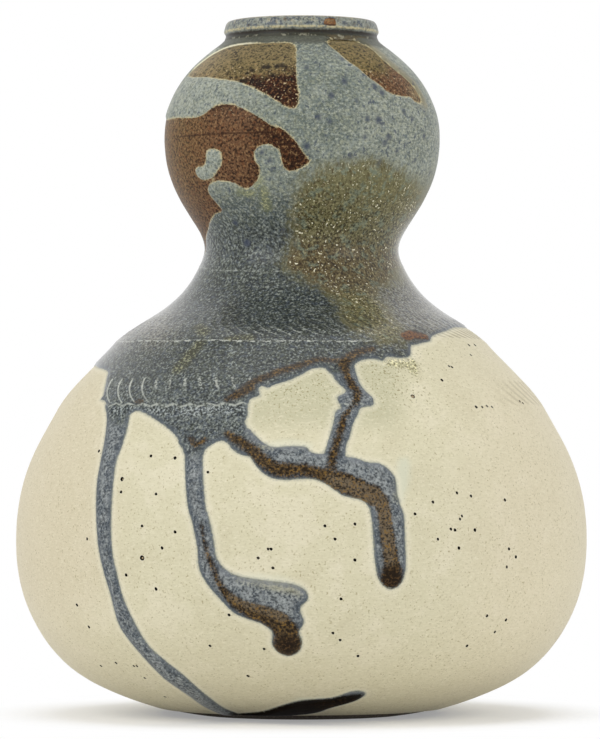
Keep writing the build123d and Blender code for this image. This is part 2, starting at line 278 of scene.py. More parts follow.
ironPatches = {
    "upperLeft": [
        (189, 75), (200, 64), (214, 54), (230, 47), (250, 44), (271, 43), (293, 44), (296, 56), (296, 70),
        (297, 84), (299, 97), (295, 108), (285, 106), (276, 100), (264, 93), (250, 86), (236, 81),
        (221, 79), (207, 77), (196, 77),
    ],
    "upperRight": [
        (328, 41), (336, 37), (346, 37), (357, 42), (370, 48), (382, 59), (395, 70), (407, 80), (415, 89),
        (421, 101), (416, 102), (410, 97), (401, 96), (388, 92), (381, 86), (371, 79), (364, 73),
        (357, 67), (348, 61), (339, 53), (330, 46),
    ],
    "left": [
        (167, 120), (175, 118), (186, 118), (198, 117), (207, 112), (215, 106), (224, 104), (234, 105),
        (246, 110), (257, 116), (269, 124), (280, 128), (289, 134), (296, 142), (301, 149), (307, 157),
        (309, 162), (302, 167), (292, 171), (285, 169), (282, 161), (281, 154), (275, 147), (267, 144),
        (258, 147), (254, 153), (255, 161), (260, 168), (259, 175), (255, 183), (248, 188), (241, 187),
        (234, 183), (226, 181), (216, 181), (209, 185), (208, 191), (212, 198), (217, 204), (222, 211),
        (215, 214), (210, 221), (208, 229), (206, 240),
    ],
}
# Where the left patch goes on, out of the photograph's sight
leftPatchBack = [
    (-82, 199), (-89, 200), (-96, 207), (-102, 217), (-101, 227), (-106, 237), (-108, 248), (-102, 256),
    (-94, 258),
]
blueIsland = [
    (206, 151), (213, 149), (220, 151), (222, 158), (221, 166), (216, 173), (212, 178), (204, 180),
    (198, 177), (195, 171), (197, 167), (203, 166), (206, 160),
]
ashFlow = [
    (294, 215), (296, 196), (305, 182), (320, 170), (345, 164), (375, 163), (400, 172), (418, 190),
    (415, 215), (404, 235), (398, 252), (396, 268), (388, 280), (378, 289), (376, 299), (385, 308),
    (393, 320), (402, 334), (396, 341), (380, 342), (366, 336), (353, 330), (344, 316), (337, 300),
    (322, 289), (303, 278), (285, 263), (291, 252), (295, 238),
]
runOutlines = {
    "left_run": [
        (107, 402), (107, 418), (105, 438), (101, 459), (97, 482), (96, 510), (97, 535), (99, 552),
        (105, 577), (111, 597), (119, 625), (129, 640), (146, 660), (165, 679), (188, 695), (207, 708),
        (223, 715), (240, 716), (226, 709), (210, 698), (188, 679), (168, 663), (149, 646), (137, 627),
        (124, 600), (117, 574), (112, 549), (112, 501), (114, 476), (117, 459), (121, 449), (127, 430),
        (130, 415), (134, 402),
    ],
    "left_drip": [
        (179, 440), (206, 440), (203, 456), (203, 472), (204, 491), (206, 508), (210, 522), (214, 542),
        (216, 556), (223, 567), (233, 574), (248, 578), (270, 581), (292, 584), (305, 590), (308, 599),
        (300, 609), (304, 622), (299, 632), (302, 641), (299, 651), (289, 656), (278, 652), (272, 643),
        (272, 632), (262, 624), (248, 619), (234, 613), (219, 598), (207, 584), (199, 568), (197, 546),
        (192, 522), (188, 508), (186, 491), (185, 466), (184, 452),
    ],
    "centre_drip": [
        (236, 436), (247, 428), (254, 434), (264, 443), (274, 447), (290, 446), (306, 447), (311, 452),
        (322, 454), (334, 452), (344, 456), (356, 458), (367, 462), (378, 463), (386, 467), (393, 474),
        (396, 481), (397, 492), (400, 504), (404, 516), (405, 539), (406, 560), (405, 572), (401, 583),
        (392, 589), (383, 585), (377, 574), (374, 552), (372, 522), (369, 508), (363, 501), (353, 498),
        (342, 495), (332, 488), (322, 482), (312, 479), (299, 479), (286, 480), (272, 478), (263, 473),
        (256, 466), (250, 457), (242, 455), (233, 449),
    ],
    "link_run": [
        (331, 366), (333, 376), (338, 383), (346, 391), (337, 397), (341, 408), (336, 411), (333, 424),
        (329, 438), (325, 451), (322, 462), (343, 462), (346, 446), (350, 436), (353, 424), (358, 414),
        (361, 408), (373, 405), (373, 398), (366, 391), (360, 383), (356, 373), (354, 364), (352, 358),
        (340, 358),
    ],
    "foot_run": [
        (228, 714), (246, 713), (264, 711), (283, 705), (302, 700), (331, 698), (350, 692), (361, 691),
        (365, 695), (353, 702), (331, 708), (315, 713), (283, 716), (251, 716),
    ],
}
# Runs on the back: stops of (degrees, height, half width in mm)
backRuns = {
    "back_left_run": [(-131, 138, 8), (-136, 111, 4.8), (-142, 90, 4.3), (-143, 66, 4.6), (-142, 48, 4.2)],
    "back_drip": [(163, 150, 8), (163, 117, 5), (164, 87, 4.6), (164, 63, 5), (163, 54, 4.6)],
    "back_right_run": [(129, 150, 8), (137, 124, 4.8), (145, 103, 4.4), (146, 86, 4.2)],
}
# Brown hearts of the runs: lines of (pixel across, pixel down, half width in mm)
cores = [
    [(228, 434, 1.5), (238, 441, 2.2), (251, 449, 2.4), (263, 461, 2.6), (274, 469, 3), (290, 471, 3),
     (305, 470, 2.6), (316, 473, 2.8), (328, 477, 3.4), (346, 484, 4.2), (363, 491, 4.2), (373, 495, 4),
     (381, 502, 3.2), (384, 514, 2.8), (386, 530, 2.8), (389, 548, 3), (391, 566, 3.6), (391, 577, 4.5)],
    [(372, 350, 1.5), (361, 352, 1.8), (350, 357, 2), (343, 366, 2.2), (346, 375, 1.7), (351, 385, 1.6),
     (357, 393, 2), (356, 401, 1.6), (350, 410, 0.9), (344, 418, 1.3), (340, 431, 1.6), (336, 446, 1.6),
     (332, 459, 1.6), (331, 468, 2)],
    [(202, 524, 0.3), (205, 542, 0.7), (210, 560, 0.9), (217, 577, 1.2), (225, 592, 1.6), (236, 603, 2.6),
     (250, 610, 3.4), (266, 615, 4), (280, 622, 4.6), (287, 633, 5.4), (288, 644, 6)],
    [(236, 397, 1.6), (247, 388, 2), (256, 381, 1.8), (276, 373, 1.4), (301, 366, 1.5), (318, 360, 1.4),
     (335, 362, 1.2), (345, 360, 1.6)],
    [(262, 379, 1.8), (280, 372, 2), (300, 366, 1.8), (314, 361, 1.6)],
    [(228, 399, 1.6), (240, 394, 2.4), (250, 389, 2)],
    [(205, 440, 1.2), (196, 446, 1.4), (190, 438, 0.8)],
    [(232, 715, 2.5), (262, 713, 4), (292, 708, 5), (318, 705, 5), (338, 702, 4), (354, 697, 2)],
]
# The same on the back, in degrees and mm of height
backCores = [
    [(-135, 116, 0.8), (-140, 98, 1.4), (-143, 78, 1.6), (-143, 60, 2.4), (-142, 50, 3.6)],
    [(160, 136, 1), (163, 116, 1.4), (164, 92, 1.5), (164, 70, 2.4), (163, 56, 3.8)],
    [(135, 130, 1), (140, 116, 1.4), (145, 102, 1.8), (146, 89, 3.4)],
]
# Dark pools at the ends of the drips: (pixel across, pixel down, radius in mm)
pools = [(391, 578, 6), (288, 645, 6)]
backPools = [(-142, 47, 5), (163, 53, 5.4), (146, 84.5, 4.8)]
# Olive, crystalline, hazy and pale places on the coats, as streaks too
oliveStreaks = [
    [(198, 327, 1.4), (205, 333, 1.8)], [(200, 344, 1.4), (192, 354, 2.4), (180, 369, 2.4)],
    [(388, 361, 2.2), (400, 362, 2.8), (410, 361, 2.4), (414, 372, 1.2)], [(230, 339, 1), (250, 338, 1)],
]
crystalStreaks = [
    [(264, 188, 1.2), (267, 206, 1.8)], [(240, 192, 1), (252, 193, 1.2)],
    [(256, 186, 0.8), (261, 178, 0.8)],
]
hazeStreaks = [
    [(240, 578, 1.4), (262, 582, 2.6), (284, 586, 3.2), (298, 591, 2.4)],
    [(404, 464, 2.5), (402, 480, 3), (398, 497, 2.5)], [(262, 448, 1.5), (286, 444, 1.5), (308, 446, 1.2)],
    [(300, 700, 2.5), (318, 699, 2)],
]
paleStreaks = [
    [(330, 480, 2.2), (348, 486, 3.2), (372, 497, 4.2), (383, 510, 3.2), (387, 540, 2.6), (390, 562, 2)],
    [(232, 596, 1.6), (250, 604, 2.4), (268, 609, 2.6), (282, 616, 2.4)],
]
# Cobalt spots on the bulb: (pixel across, pixel down, radius in mm)
inkSpots = [
    (331, 96, 1.3), (344, 82, 1.3), (374, 87, 1.2), (307, 68, 0.9), (378, 120, 1.5), (367, 119, 1.1),
    (388, 137, 1.3), (384, 143, 1.1), (379, 163, 1.7), (382, 172, 1.3), (350, 156, 1.1), (364, 137, 0.9),
    (307, 146, 1.3), (423, 136, 1.2), (403, 112, 1.1), (411, 119, 1), (318, 117, 1.1), (330, 122, 0.9),
    (356, 101, 0.8), (342, 60, 0.9), (381, 93, 1.3), (338, 164, 0.9), (270, 160, 1), (248, 243, 1.6),
    (262, 152, 0.9), (300, 226, 1), (236, 222, 1.2), (283, 230, 1), (414, 160, 1), (396, 151, 0.9),
]
rustStreaks = [[(405, 337, 2.4), (412, 335, 3), (424, 337, 2)], [(138, 402, 0.9), (142, 402, 0.9)]]
# Black spots burnt into the iron slip of the upper left patch: (pixel across, pixel down, radius in mm)
burntSpots = [
    (253, 50, 0.7), (251, 57, 0.7), (237, 60, 0.9), (228, 73, 1), (247, 73, 0.9), (252, 70, 1.1),
    (264, 67, 1.2), (268, 67, 1.3), (277, 66, 1.3), (282, 65, 1.2), (277, 57, 0.8), (286, 67, 0.8),
    (241, 81, 1.1), (245, 81, 1.2), (252, 81, 1.3), (242, 68, 0.7), (231, 78, 0.8), (236, 78, 0.8),
    (291, 79, 0.9), (273, 75, 1.1), (260, 71, 0.8), (257, 84, 0.9), (265, 93, 0.9),
]
# Pinholes in the cream coat: (pixel across, pixel down, radius in mm)
pinholes = [
    (142, 558, 0.95), (126, 575, 0.6), (156, 589, 0.6), (77, 605, 0.6), (89, 627, 0.6), (87, 539, 0.5),
    (162, 548, 0.55), (268, 549, 0.45), (271, 549, 0.5), (258, 558, 0.5), (273, 568, 0.5), (355, 560, 0.55),
    (335, 539, 0.5), (455, 530, 0.55), (438, 539, 0.5), (459, 548, 0.6), (475, 530, 0.6), (509, 549, 0.55),
    (516, 557, 0.6), (507, 567, 0.5), (487, 616, 0.55), (506, 620, 0.6), (495, 632, 0.5), (467, 646, 0.6),
    (333, 633, 0.5), (340, 640, 0.5), (358, 656, 0.55), (248, 676, 0.6), (210, 646, 0.5), (229, 615, 0.5),
    (264, 649, 0.5), (101, 666, 0.6), (116, 663, 0.55), (134, 666, 0.45), (137, 666, 0.45), (145, 678, 0.5),
    (165, 697, 0.6), (341, 599, 0.5), (122, 479, 0.8), (121, 492, 0.55), (151, 456, 0.55), (175, 458, 0.6),
    (99, 451, 0.55), (208, 472, 0.5), (156, 494, 0.5), (142, 526, 0.5), (175, 532, 0.55), (325, 526, 0.5),
    (355, 524, 0.5), (469, 345, 0.6), (475, 345, 0.6), (471, 355, 0.5), (449, 366, 0.5), (452, 367, 0.5),
    (442, 380, 0.6), (413, 396, 0.85), (476, 407, 0.6), (482, 407, 0.45), (487, 406, 0.5), (492, 407, 0.45),
    (520, 401, 0.5), (523, 403, 0.5), (457, 493, 0.5), (471, 496, 0.5), (505, 500, 0.55), (433, 502, 0.5),
    (415, 514, 0.5), (462, 516, 0.45), (460, 519, 0.45), (451, 529, 0.5), (310, 156, 0.8),
]


def roundTheVase(front, back):
    # one line right round: it starts and ends on the same place, a whole turn apart
    places = np.concatenate([placesOf(front), placesRound(back)])
    whole = np.array([2 * math.pi, 0])
    before, after = places[-2:] - whole, places[:3] + whole
    line = smoothLine(np.concatenate([before, places, after]), False)
    start = len(before) * stepsBetween
    return line[start:start + len(places) * stepsBetween + 1]


blueEdge = roundTheVase(blueEdgeFront, blueEdgeBack)
patchPlaces = {name: placesOf(outline) for name, outline in ironPatches.items()}
patchPlaces["left"] = np.concatenate([patchPlaces["left"], placesRound(leftPatchBack)])
patchLines = {name: smoothLine(places, True) for name, places in patchPlaces.items()}
islandLine = smoothLine(placesOf(blueIsland), True)
ashLine = smoothLine(placesOf(ashFlow), True)
runPlaces = {name: placesOf(outline) for name, outline in runOutlines.items()}
runPlaces |= {name: stripOutline(stops) for name, stops in backRuns.items()}
runLines = {name: smoothLine(places, True) for name, places in runPlaces.items()}


def streaksOf(rawStreaks, placing=placesOf):
    streaks = []
    for streak in rawStreaks:
        streak = np.array(streak, dtype=float)
        streaks.append(np.column_stack([placing(streak[:, :2]), streak[:, 2]]))
    return streaks


def spotsOf(rawSpots, placing=placesOf):
    return streaksOf([[spot, spot] for spot in rawSpots], placing)


streakPlaces = {
    "coreEdge": streaksOf(cores + rustStreaks) + streaksOf(backCores, placesRound),
    "poolEdge": spotsOf(pools) + spotsOf(backPools, placesRound),
    "inkEdge": spotsOf(inkSpots),
    "crystalEdge": streaksOf(crystalStreaks),
    "burntEdge": spotsOf(burntSpots),
    "oliveEdge": streaksOf(oliveStreaks),
    "hazeEdge": streaksOf(hazeStreaks),
    "paleEdge": streaksOf(paleStreaks),
}
print("glaze outlines laid on the form")


def smoothStep(start, end, value):
    t = np.clip((value - start) / (end - start), 0, 1)
    return t * t * (3 - 2 * t)


# Relief that the potter's tools left, the same under every coat
relief = {
    "markCount": 84,
    "markBands": [(133.0, 145.0, 1.5), (161.2, 171.6, 2.6)],   # foot and top in mm, lean in widths
    "markFoot": 0.16, "markTop": 0.7,      # shares of a band in which its marks fade out
    "markReach": 14,                       # mm below a band's middle from which its lean holds
    "markDepth": 0.26, "markPower": 2.5,   # a higher power makes a sharper ridge between two marks
    "seams": {"bowlLine": (132.0, 0.0), "shoulderLine": (160.6, -1.5), "waistLine": (193.6, -4.4)},
    "seamRise": 0.12, "seamWidth": 0.45,
    "seamWander": 0.3, "seamWaves": (9, 4),
    "throwingDepth": 0.06, "throwingStep": 4.3, "throwingStretch": 0.25,
    "unevenness": 0.1, "unevenSize": 26.0,
    "lowered": 0.3,                        # share of its depth by which noise is sunk
    "calmFrom": 282.0, "calmTo": 290.0,    # mm of height over which relief dies out under the lip
}


def softNoise(turn, radius, height, size, seed):
    x = np.sin(turn) * radius / size + seed
    y = -np.cos(turn) * radius / size
    z = height / size
    return np.array([noise.noise((a, b, c)) for a, b, c in zip(x, y, z)])


def marksAt(height):
    # how far a pressed mark leans at this height, in widths of a mark, and how deep it is, 0 to 1
    lean = np.zeros(height.shape)
    within = np.zeros(height.shape)
    for low, high, slant in relief["markBands"]:
        t = np.clip((height - low) / (high - low), 0, 1)
        inBand = smoothStep(0, relief["markFoot"], t) * smoothStep(1, relief["markTop"], t)
        lean = np.where(height > (low + high) / 2 - relief["markReach"], -slant * (1 - t) ** 2, lean)
        within = np.maximum(within, inBand)
    return lean, within


def seamsAt(turn, height):
    # mm above each seam's line, which rises and falls a little round the pot
    shortWaves, longWaves = relief["seamWaves"]
    above = {}
    for name, (level, fall) in relief["seams"].items():
        wander = relief["seamWander"] * np.sin(shortWaves * turn) * np.sin(longWaves * turn + level)
        above[name] = height - level - fall * np.cos(turn) - wander
    return above


def reliefAt(turn, way, markShare=1.0):
    # mm inward (-) or outward (+)
    setup = relief
    height = heightAt(way)
    radius = radiusAt(height)
    dents = softNoise(turn, radius, height, setup["unevenSize"], seed=3.0)
    shift = setup["unevenness"] * (dents - setup["lowered"])
    wave = softNoise(turn, radius * setup["throwingStretch"], height, setup["throwingStep"], seed=9.0)
    shift += setup["throwingDepth"] * (wave - setup["lowered"])
    lean, within = marksAt(height)
    phase = (turn / (2 * math.pi) * setup["markCount"] + lean) % 1
    ridge = np.abs(phase - 0.5) * 2
    shift -= setup["markDepth"] * markShare * within * (1 - ridge ** setup["markPower"])
    for above in seamsAt(turn, height).values():
        shift += setup["seamRise"] * np.exp(-(above / setup["seamWidth"]) ** 2)
    return shift * smoothStep(setup["calmTo"], setup["calmFrom"], height)


edgeSides = {"softening": 0.05, "unclear": 0.15}      # mm: nearer to an edge than this, its side is unclear


def depthsAt(turn, way):
    # how deep each place lies in every glaze, for shapes and colours alike
    patch = np.max([depthInside(turn, way, line)[0] for line in patchLines.values()], axis=0)
    patch = np.minimum(patch, -depthInside(turn, way, islandLine)[0])
    blue, toEdge = depthInside(turn, way, blueEdge)
    flow = blue
    run = np.full(turn.shape, -outlineReach)
    for line in runLines.values():
        depth, toRun = depthInside(turn, way, line)
        toEdge = np.where(depth > flow, toRun, toEdge)
        flow = np.maximum(flow, depth)
        run = np.maximum(run, depth)
    lean, within = marksAt(heightAt(way))
    # 1 along the lower edge of a flow and -1 along its upper edge, on both sides of the edge
    below = -toEdge[1] / (np.hypot(*toEdge) + edgeSides["softening"]) * np.sign(flow)
    streakDepths = {name: depthInStreaks(turn, way, streaks) for name, streaks in streakPlaces.items()}
    return {
        "blueEdge": blue,
        "flowEdge": flow,
        "edgeBelow": np.where(np.abs(flow) < edgeSides["unclear"], 0.5, below),
        "patchEdge": patch,
        "ashEdge": depthInside(turn, way, ashLine)[0],
        "markLean": lean,
        "markBand": within,
        "runEdge": run,
    } | streakDepths | seamsAt(turn, heightAt(way))


def selectNone():
    if bpy.context.object and bpy.context.object.mode != "OBJECT":
        bpy.ops.object.mode_set(mode="OBJECT")
    bpy.ops.object.select_all(action="DESELECT")


def readPoints(piece):
    points = np.empty(len(piece.data.vertices) * 3)
    piece.data.vertices.foreach_get("co", points)
    return points.reshape(-1, 3)


def writePoints(piece, points):
    piece.data.vertices.foreach_set("co", np.ascontiguousarray(points, dtype=float).ravel())
    piece.data.update()


def onForm(turn, way, rise):
    # the place in space that lies rise mm off the form, along its normal
    radius = radiusAt(heightAt(way))
    across = np.interp(way, formWay, formRise)
    up = -np.interp(way, formWay, formSpread)
    steep = np.hypot(across, up)
    out = radius + rise * across / steep
    height = heightAt(way) + rise * up / steep
    return np.stack([np.sin(turn) * out, -np.cos(turn) * out, height], axis=1) * mm


def writeDepths(piece, depths):
    for name, values in depths.items():
        attribute = piece.data.attributes.new(name, "FLOAT", "POINT")
        attribute.data.foreach_set("value", values)


def selectFaces(piece, chosen):
    piece.data.vertices.foreach_set("select", np.zeros(len(piece.data.vertices), dtype=bool))
    piece.data.edges.foreach_set("select", np.zeros(len(piece.data.edges), dtype=bool))
    piece.data.polygons.foreach_set("select", chosen)
    bpy.context.tool_settings.mesh_select_mode = (False, False, True)


def finishPiece(piece):
    bpy.ops.object.shade_smooth_by_angle(angle=creaseAngle)
    print(piece.name, len(piece.data.polygons), "faces")
    return piece


sheetSetup = {
    "rows": 50,              # rows read for the widest radius
    "drawnIn": 3,            # mm inside an outline up to which a sheet's rim is drawn to it
    "weld": 0.02,            # mm
    "poolRim": 2,            # mm on both sides of a pool's edge over which a sheet swells
}
ringWeld = 0.001 * mm
creaseAngle = math.radians(55)


def coatProfile(setup, depth):
    # 0 at the rim, 1 where a coat has its full height
    return smoothStep(-setup["overlap"], setup["rimWidth"], depth)


def beadProfile(setup, depth):
    # the same for a run, which is rounded from side to side
    inward = np.clip((depth + setup["overlap"]) / (setup["rimWidth"] + setup["overlap"]), 0, 1)
    return np.sin(inward * math.pi / 2)


def glazeSheet(name, setup, rimDepth, profile):
    # a flat grid, turn across and way up, cut to its outline, laid on the form and given its thickness
    selectNone()
    left, right = (math.radians(turn) for turn in setup["turns"])
    low, high = (wayAt(height) for height in setup["heights"])
    radius = radiusAt(np.linspace(*setup["heights"], sheetSetup["rows"])).max()
    columns = setup.get("columns") or int((right - left) * radius / setup["cell"])
    bpy.ops.mesh.primitive_grid_add(
        x_subdivisions=columns, y_subdivisions=int((high - low) / setup["cell"]), size=1, location=(0, 0, 0)
    )
    piece = bpy.context.object
    piece.name = piece.data.name = name
    flat = readPoints(piece)
    flat[:, 0] = left + (flat[:, 0] + 0.5) * (right - left)
    flat[:, 1] = low + (flat[:, 1] + 0.5) * (high - low)
    writePoints(piece, flat)
    depth = rimDepth(flat[:, 0], flat[:, 1])[0]
    corners = np.array([list(face.vertices) for face in piece.data.polygons])
    selectFaces(piece, depth[corners].max(axis=1) < -setup["overlap"])
    bpy.ops.object.mode_set(mode="EDIT")
    bpy.ops.mesh.delete(type="FACE")
    bpy.ops.object.mode_set(mode="OBJECT")

    # the stepped rim is drawn in to one smooth line
    flat = readPoints(piece)
    turn, way = flat[:, 0].copy(), flat[:, 1].copy()
    depth, toEdge = rimDepth(turn, way)
    edgeFaces = np.zeros(len(piece.data.edges), dtype=int)
    loopEdges = np.empty(len(piece.data.loops), dtype=np.int32)
    piece.data.loops.foreach_get("edge_index", loopEdges)
    np.add.at(edgeFaces, loopEdges, 1)
    ends = np.empty(len(piece.data.edges) * 2, dtype=np.int32)
    piece.data.edges.foreach_get("vertices", ends)
    rim = np.zeros(len(turn), dtype=bool)
    rim[ends.reshape(-1, 2)[edgeFaces == 1].ravel()] = True
    rim &= depth < sheetSetup["drawnIn"]
    distance = np.maximum(np.abs(depth), 1e-3)
    pull = np.where(depth < 0, distance - setup["overlap"], distance + setup["overlap"]) / distance
    shiftTurn = pull * toEdge[0] / radiusAt(heightAt(way))
    turn = np.where(rim, turn + shiftTurn, turn)
    way = np.where(rim, way + pull * toEdge[1], way)
    depth = rimDepth(turn, way)[0]
    depths = depthsAt(turn, way)
    poolRim = sheetSetup["poolRim"]
    swell = setup.get("poolRise", 0) * smoothStep(-poolRim, poolRim, depths["poolEdge"])
    rise = profile(setup, depth) * (setup["rise"] + setup["sunk"] + swell) - setup["sunk"]
    writePoints(piece, onForm(turn, way, rise + reliefAt(turn, way)))
    writeDepths(piece, depths)

    bpy.ops.object.mode_set(mode="EDIT")
    bpy.ops.mesh.select_all(action="SELECT")
    bpy.ops.mesh.remove_doubles(threshold=sheetSetup["weld"] * mm)
    bpy.ops.object.mode_set(mode="OBJECT")
    wall = piece.modifiers.new("coat", "SOLIDIFY")
    wall.thickness = setup["thickness"] * mm
    wall.offset = -1
    bpy.ops.object.modifier_apply(modifier=wall.name)
    return finishPiece(piece)


def turnedRing(name, section, steps):
    # a ring of section points (radius, height), turned right round the axis
    selectNone()
    bpy.ops.mesh.primitive_circle_add(vertices=len(section), radius=mm, location=(0, 0, 0))
    piece = bpy.context.object
    piece.name = piece.data.name = name
    points = np.zeros((len(section), 3))
    points[:, 1] = -section[:, 0] * mm
    points[:, 2] = section[:, 1] * mm
    writePoints(piece, points)
    turned = piece.modifiers.new("turned", "SCREW")
    turned.steps = turned.render_steps = steps
    turned.use_merge_vertices = True
    turned.merge_threshold = ringWeld
    bpy.ops.object.modifier_apply(modifier=turned.name)
    bpy.ops.object.mode_set(mode="EDIT")
    bpy.ops.mesh.select_all(action="SELECT")
    bpy.ops.mesh.remove_doubles(threshold=ringWeld)
    bpy.ops.mesh.normals_make_consistent(inside=False)
    bpy.ops.object.mode_set(mode="OBJECT")
    return piece


def coatSection(setup):
    # outer side in short steps up the form, inner side in long ones down it
    low, high = wayAt(setup["low"]), wayAt(setup["high"])
    up = np.linspace(low, high, setup["outerRows"])
    down = np.linspace(high - setup["rimSlope"], low + setup["rimSlope"], setup["innerRows"])
    outer = np.stack([radiusAt(heightAt(up)), heightAt(up)], axis=1)
    sunk = onForm(np.zeros(len(down)), down, -setup["thickness"]) / mm
    return np.concatenate([outer, np.stack([-sunk[:, 1], sunk[:, 2]], axis=1)])


def turnAndWay(points):
    return np.arctan2(points[:, 0], -points[:, 1]), wayAt(points[:, 2] / mm)


# A pinhole, all but its rise in multiples of its own radius: where its wall starts and ends, where it is
# dark, and the low rim that burst up around it
pitShape = {
    "wall": (1.15, 0.35), "dark": (1.25, 0.6), "rimInner": (1.1, 1.35), "rimOuter": (2.1, 1.5),
    "rimRise": 0.06,         # mm
    "finer": 1.5, "cuts": 4,
}


def refineAround(piece, setup, centres, sizes):
    # the coat's outer faces are cut finer around each pinhole
    middles = np.empty(len(piece.data.polygons) * 3)
    piece.data.polygons.foreach_get("center", middles)
    middles = middles.reshape(-1, 3)
    chosen = np.zeros(len(middles), dtype=bool)
    for centre, size in zip(centres, sizes):
        reach = (size * pitShape["finer"] + setup["cell"] * setup["cellShare"]) * mm
        chosen |= np.linalg.norm(middles - centre, axis=1) < reach
    inside = (radiusAt(middles[:, 2] / mm) - setup["outerWithin"][0]) * mm
    chosen &= np.hypot(middles[:, 0], middles[:, 1]) > inside
    selectFaces(piece, chosen)
    bpy.ops.object.mode_set(mode="EDIT")
    bpy.ops.mesh.subdivide(number_cuts=pitShape["cuts"])
    bpy.ops.object.mode_set(mode="OBJECT")


def baseCoat(name, setup, holes):
    # a coat right round the pot, finer and pressed in where it has pinholes
    piece = turnedRing(name, coatSection(setup), setup["steps"])
    centres, sizes = onForm(holes[:, 0], holes[:, 1], 0), holes[:, 2]
    if len(holes):
        refineAround(piece, setup, centres, sizes)
    points = readPoints(piece)
    turn, way = turnAndWay(points)
    inside = radiusAt(points[:, 2] / mm) - setup["outerWithin"][1]
    outer = np.hypot(points[:, 0], points[:, 1]) / mm > inside
    rise = reliefAt(turn, way, setup["markShare"])
    pit = np.zeros(len(points))
    for centre, size in zip(centres, sizes):
        apart = np.linalg.norm(points - centre, axis=1) / mm / size
        pit = np.maximum(pit, smoothStep(*pitShape["dark"], apart))
        rise -= setup["pitDepth"] * smoothStep(*pitShape["wall"], apart)
        rim = smoothStep(*pitShape["rimInner"], apart) * smoothStep(*pitShape["rimOuter"], apart)
        rise += pitShape["rimRise"] * rim
    laid = onForm(turn, way, rise)
    writePoints(piece, np.where(outer[:, None], laid, points))
    writeDepths(piece, depthsAt(turn, way) | {"pit": pit})
    return finishPiece(piece)


# Both base coats: mm within which a face or a point counts as on the outer side, the slope at the rims
# in mm, and how many cells around a pinhole are cut finer with it
baseCoats = {"outerWithin": (0.2, 0.12), "rimSlope": 0.2, "cellShare": 0.6}

# Cream coat: stoneware glaze over the lower half, with the pinholes burst in firing
creamCoat = baseCoats | {
    "low": 2.7, "high": 171.9, "outerRows": 132, "innerRows": 48, "steps": 440, "thickness": 0.5,
    "cell": 1.7, "pitDepth": 0.42, "markShare": 0.6,
}
# Pinholes round the back, strewn at random: turns, way up the outline in mm, radius in mm
backHoles = {
    "seed": 5, "count": 46,
    "ranges": [(math.radians(88), math.radians(272)), (wayAt(12), wayAt(128)), (0.45, 0.75)],
}
scatter = np.random.default_rng(backHoles["seed"])
moreHoles = [scatter.uniform(low, high, backHoles["count"]) for low, high in backHoles["ranges"]]
holes = np.concatenate([streaksOf([pinholes])[0], np.column_stack(moreHoles)])
creamGlaze = baseCoat("creamGlaze", creamCoat, holes)
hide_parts("cream_glaze")

# Iron slip: the dark brown coat that shows in the bare patches of the bulb
ironCoat = baseCoats | {
    "low": 172.1, "high": 299.2, "outerRows": 92, "innerRows": 46, "steps": 400, "thickness": 0.45,
    "cell": 1.5, "pitDepth": 0.3, "markShare": 1.0,
}
ironSlip = baseCoat("ironSlip", ironCoat, np.zeros((0, 3)))
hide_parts("iron_slip")


# Blue overglaze, in two sheets that meet at the line round the waist: sizes in mm, sunk is how far its rim
# reaches into the coat below, overlap how far past its outline, rimWidth where it has its full rise
blueCoat = {"rise": 0.58, "sunk": 0.25, "overlap": 0.8, "rimWidth": 1.7, "thickness": 0.8}
blueBulbSheet = blueCoat | {"turns": (-180, 180), "heights": (192.3, 290.6), "cell": 1.25, "columns": 352}
blueShoulderSheet = blueCoat | {"turns": (-180, 180), "heights": (101, 192.3), "cell": 1.3, "columns": 528}


def blueDepth(turn, way):
    depth, toEdge = depthInside(turn, way, blueEdge)
    for name, line in patchLines.items():
        patch, toPatch = depthInside(turn, way, line)
        if name == "left":      # blue was left standing in the middle of this patch
            island, toIsland = depthInside(turn, way, islandLine)
            nearer = np.abs(island) < np.abs(patch)
            toPatch = np.where(nearer, toIsland, toPatch)
            patch = np.where(nearer | (island > 0), np.minimum(patch, -island), patch)
        nearer = np.abs(patch) < np.abs(depth)
        toEdge = np.where(nearer, toPatch, toEdge)
        depth = np.minimum(depth, -patch)
    return depth, toEdge


blueBulb = glazeSheet("blueBulb", blueBulbSheet, blueDepth, coatProfile)
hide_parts("blue_glaze")
blueShoulder = glazeSheet("blueShoulder", blueShoulderSheet, blueDepth, coatProfile)
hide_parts("blue_glaze")

# Lip: the bevelled rim with a groove under its crest, in the same blue glaze
lipSetup = {
    "steps": 352,
    "section": [
        (35.6, 289.3), (34.5, 290.2), (33.75, 291.0), (33.4, 291.9), (33.05, 292.7), (32.95, 293.3),
        (33.1, 294.0), (33.5, 294.6), (33.68, 295.3), (33.5, 296.2), (33.15, 297.4), (32.75, 298.5),
        (32.0, 299.4), (30.7, 299.85), (29.3, 299.97), (28.3, 299.8), (27.7, 299.35), (27.6, 298.9),
        (28.6, 298.3), (30.6, 297.9), (31.7, 296.8), (31.8, 294.0), (31.9, 291.8), (33.1, 290.2),
    ],
    "uneven": 0.12, "unevenSize": 7.0, "worn": 0.1,     # mm
    "outerFrom": 32,          # mm of radius from which a point is on the outer side
    "chip": (330, 22),        # pixel of the bruise in the bevel
    "chipSize": 3.2, "chipDepth": 0.4,
    "chipFlat": 1.7,          # times wider than tall
    "chipSquare": 4,          # 2 is an ellipse, more has squarer corners
    "chipWall": (1.0, 0.55), "chipRagged": 0.3, "chipGrain": 1.6,
}


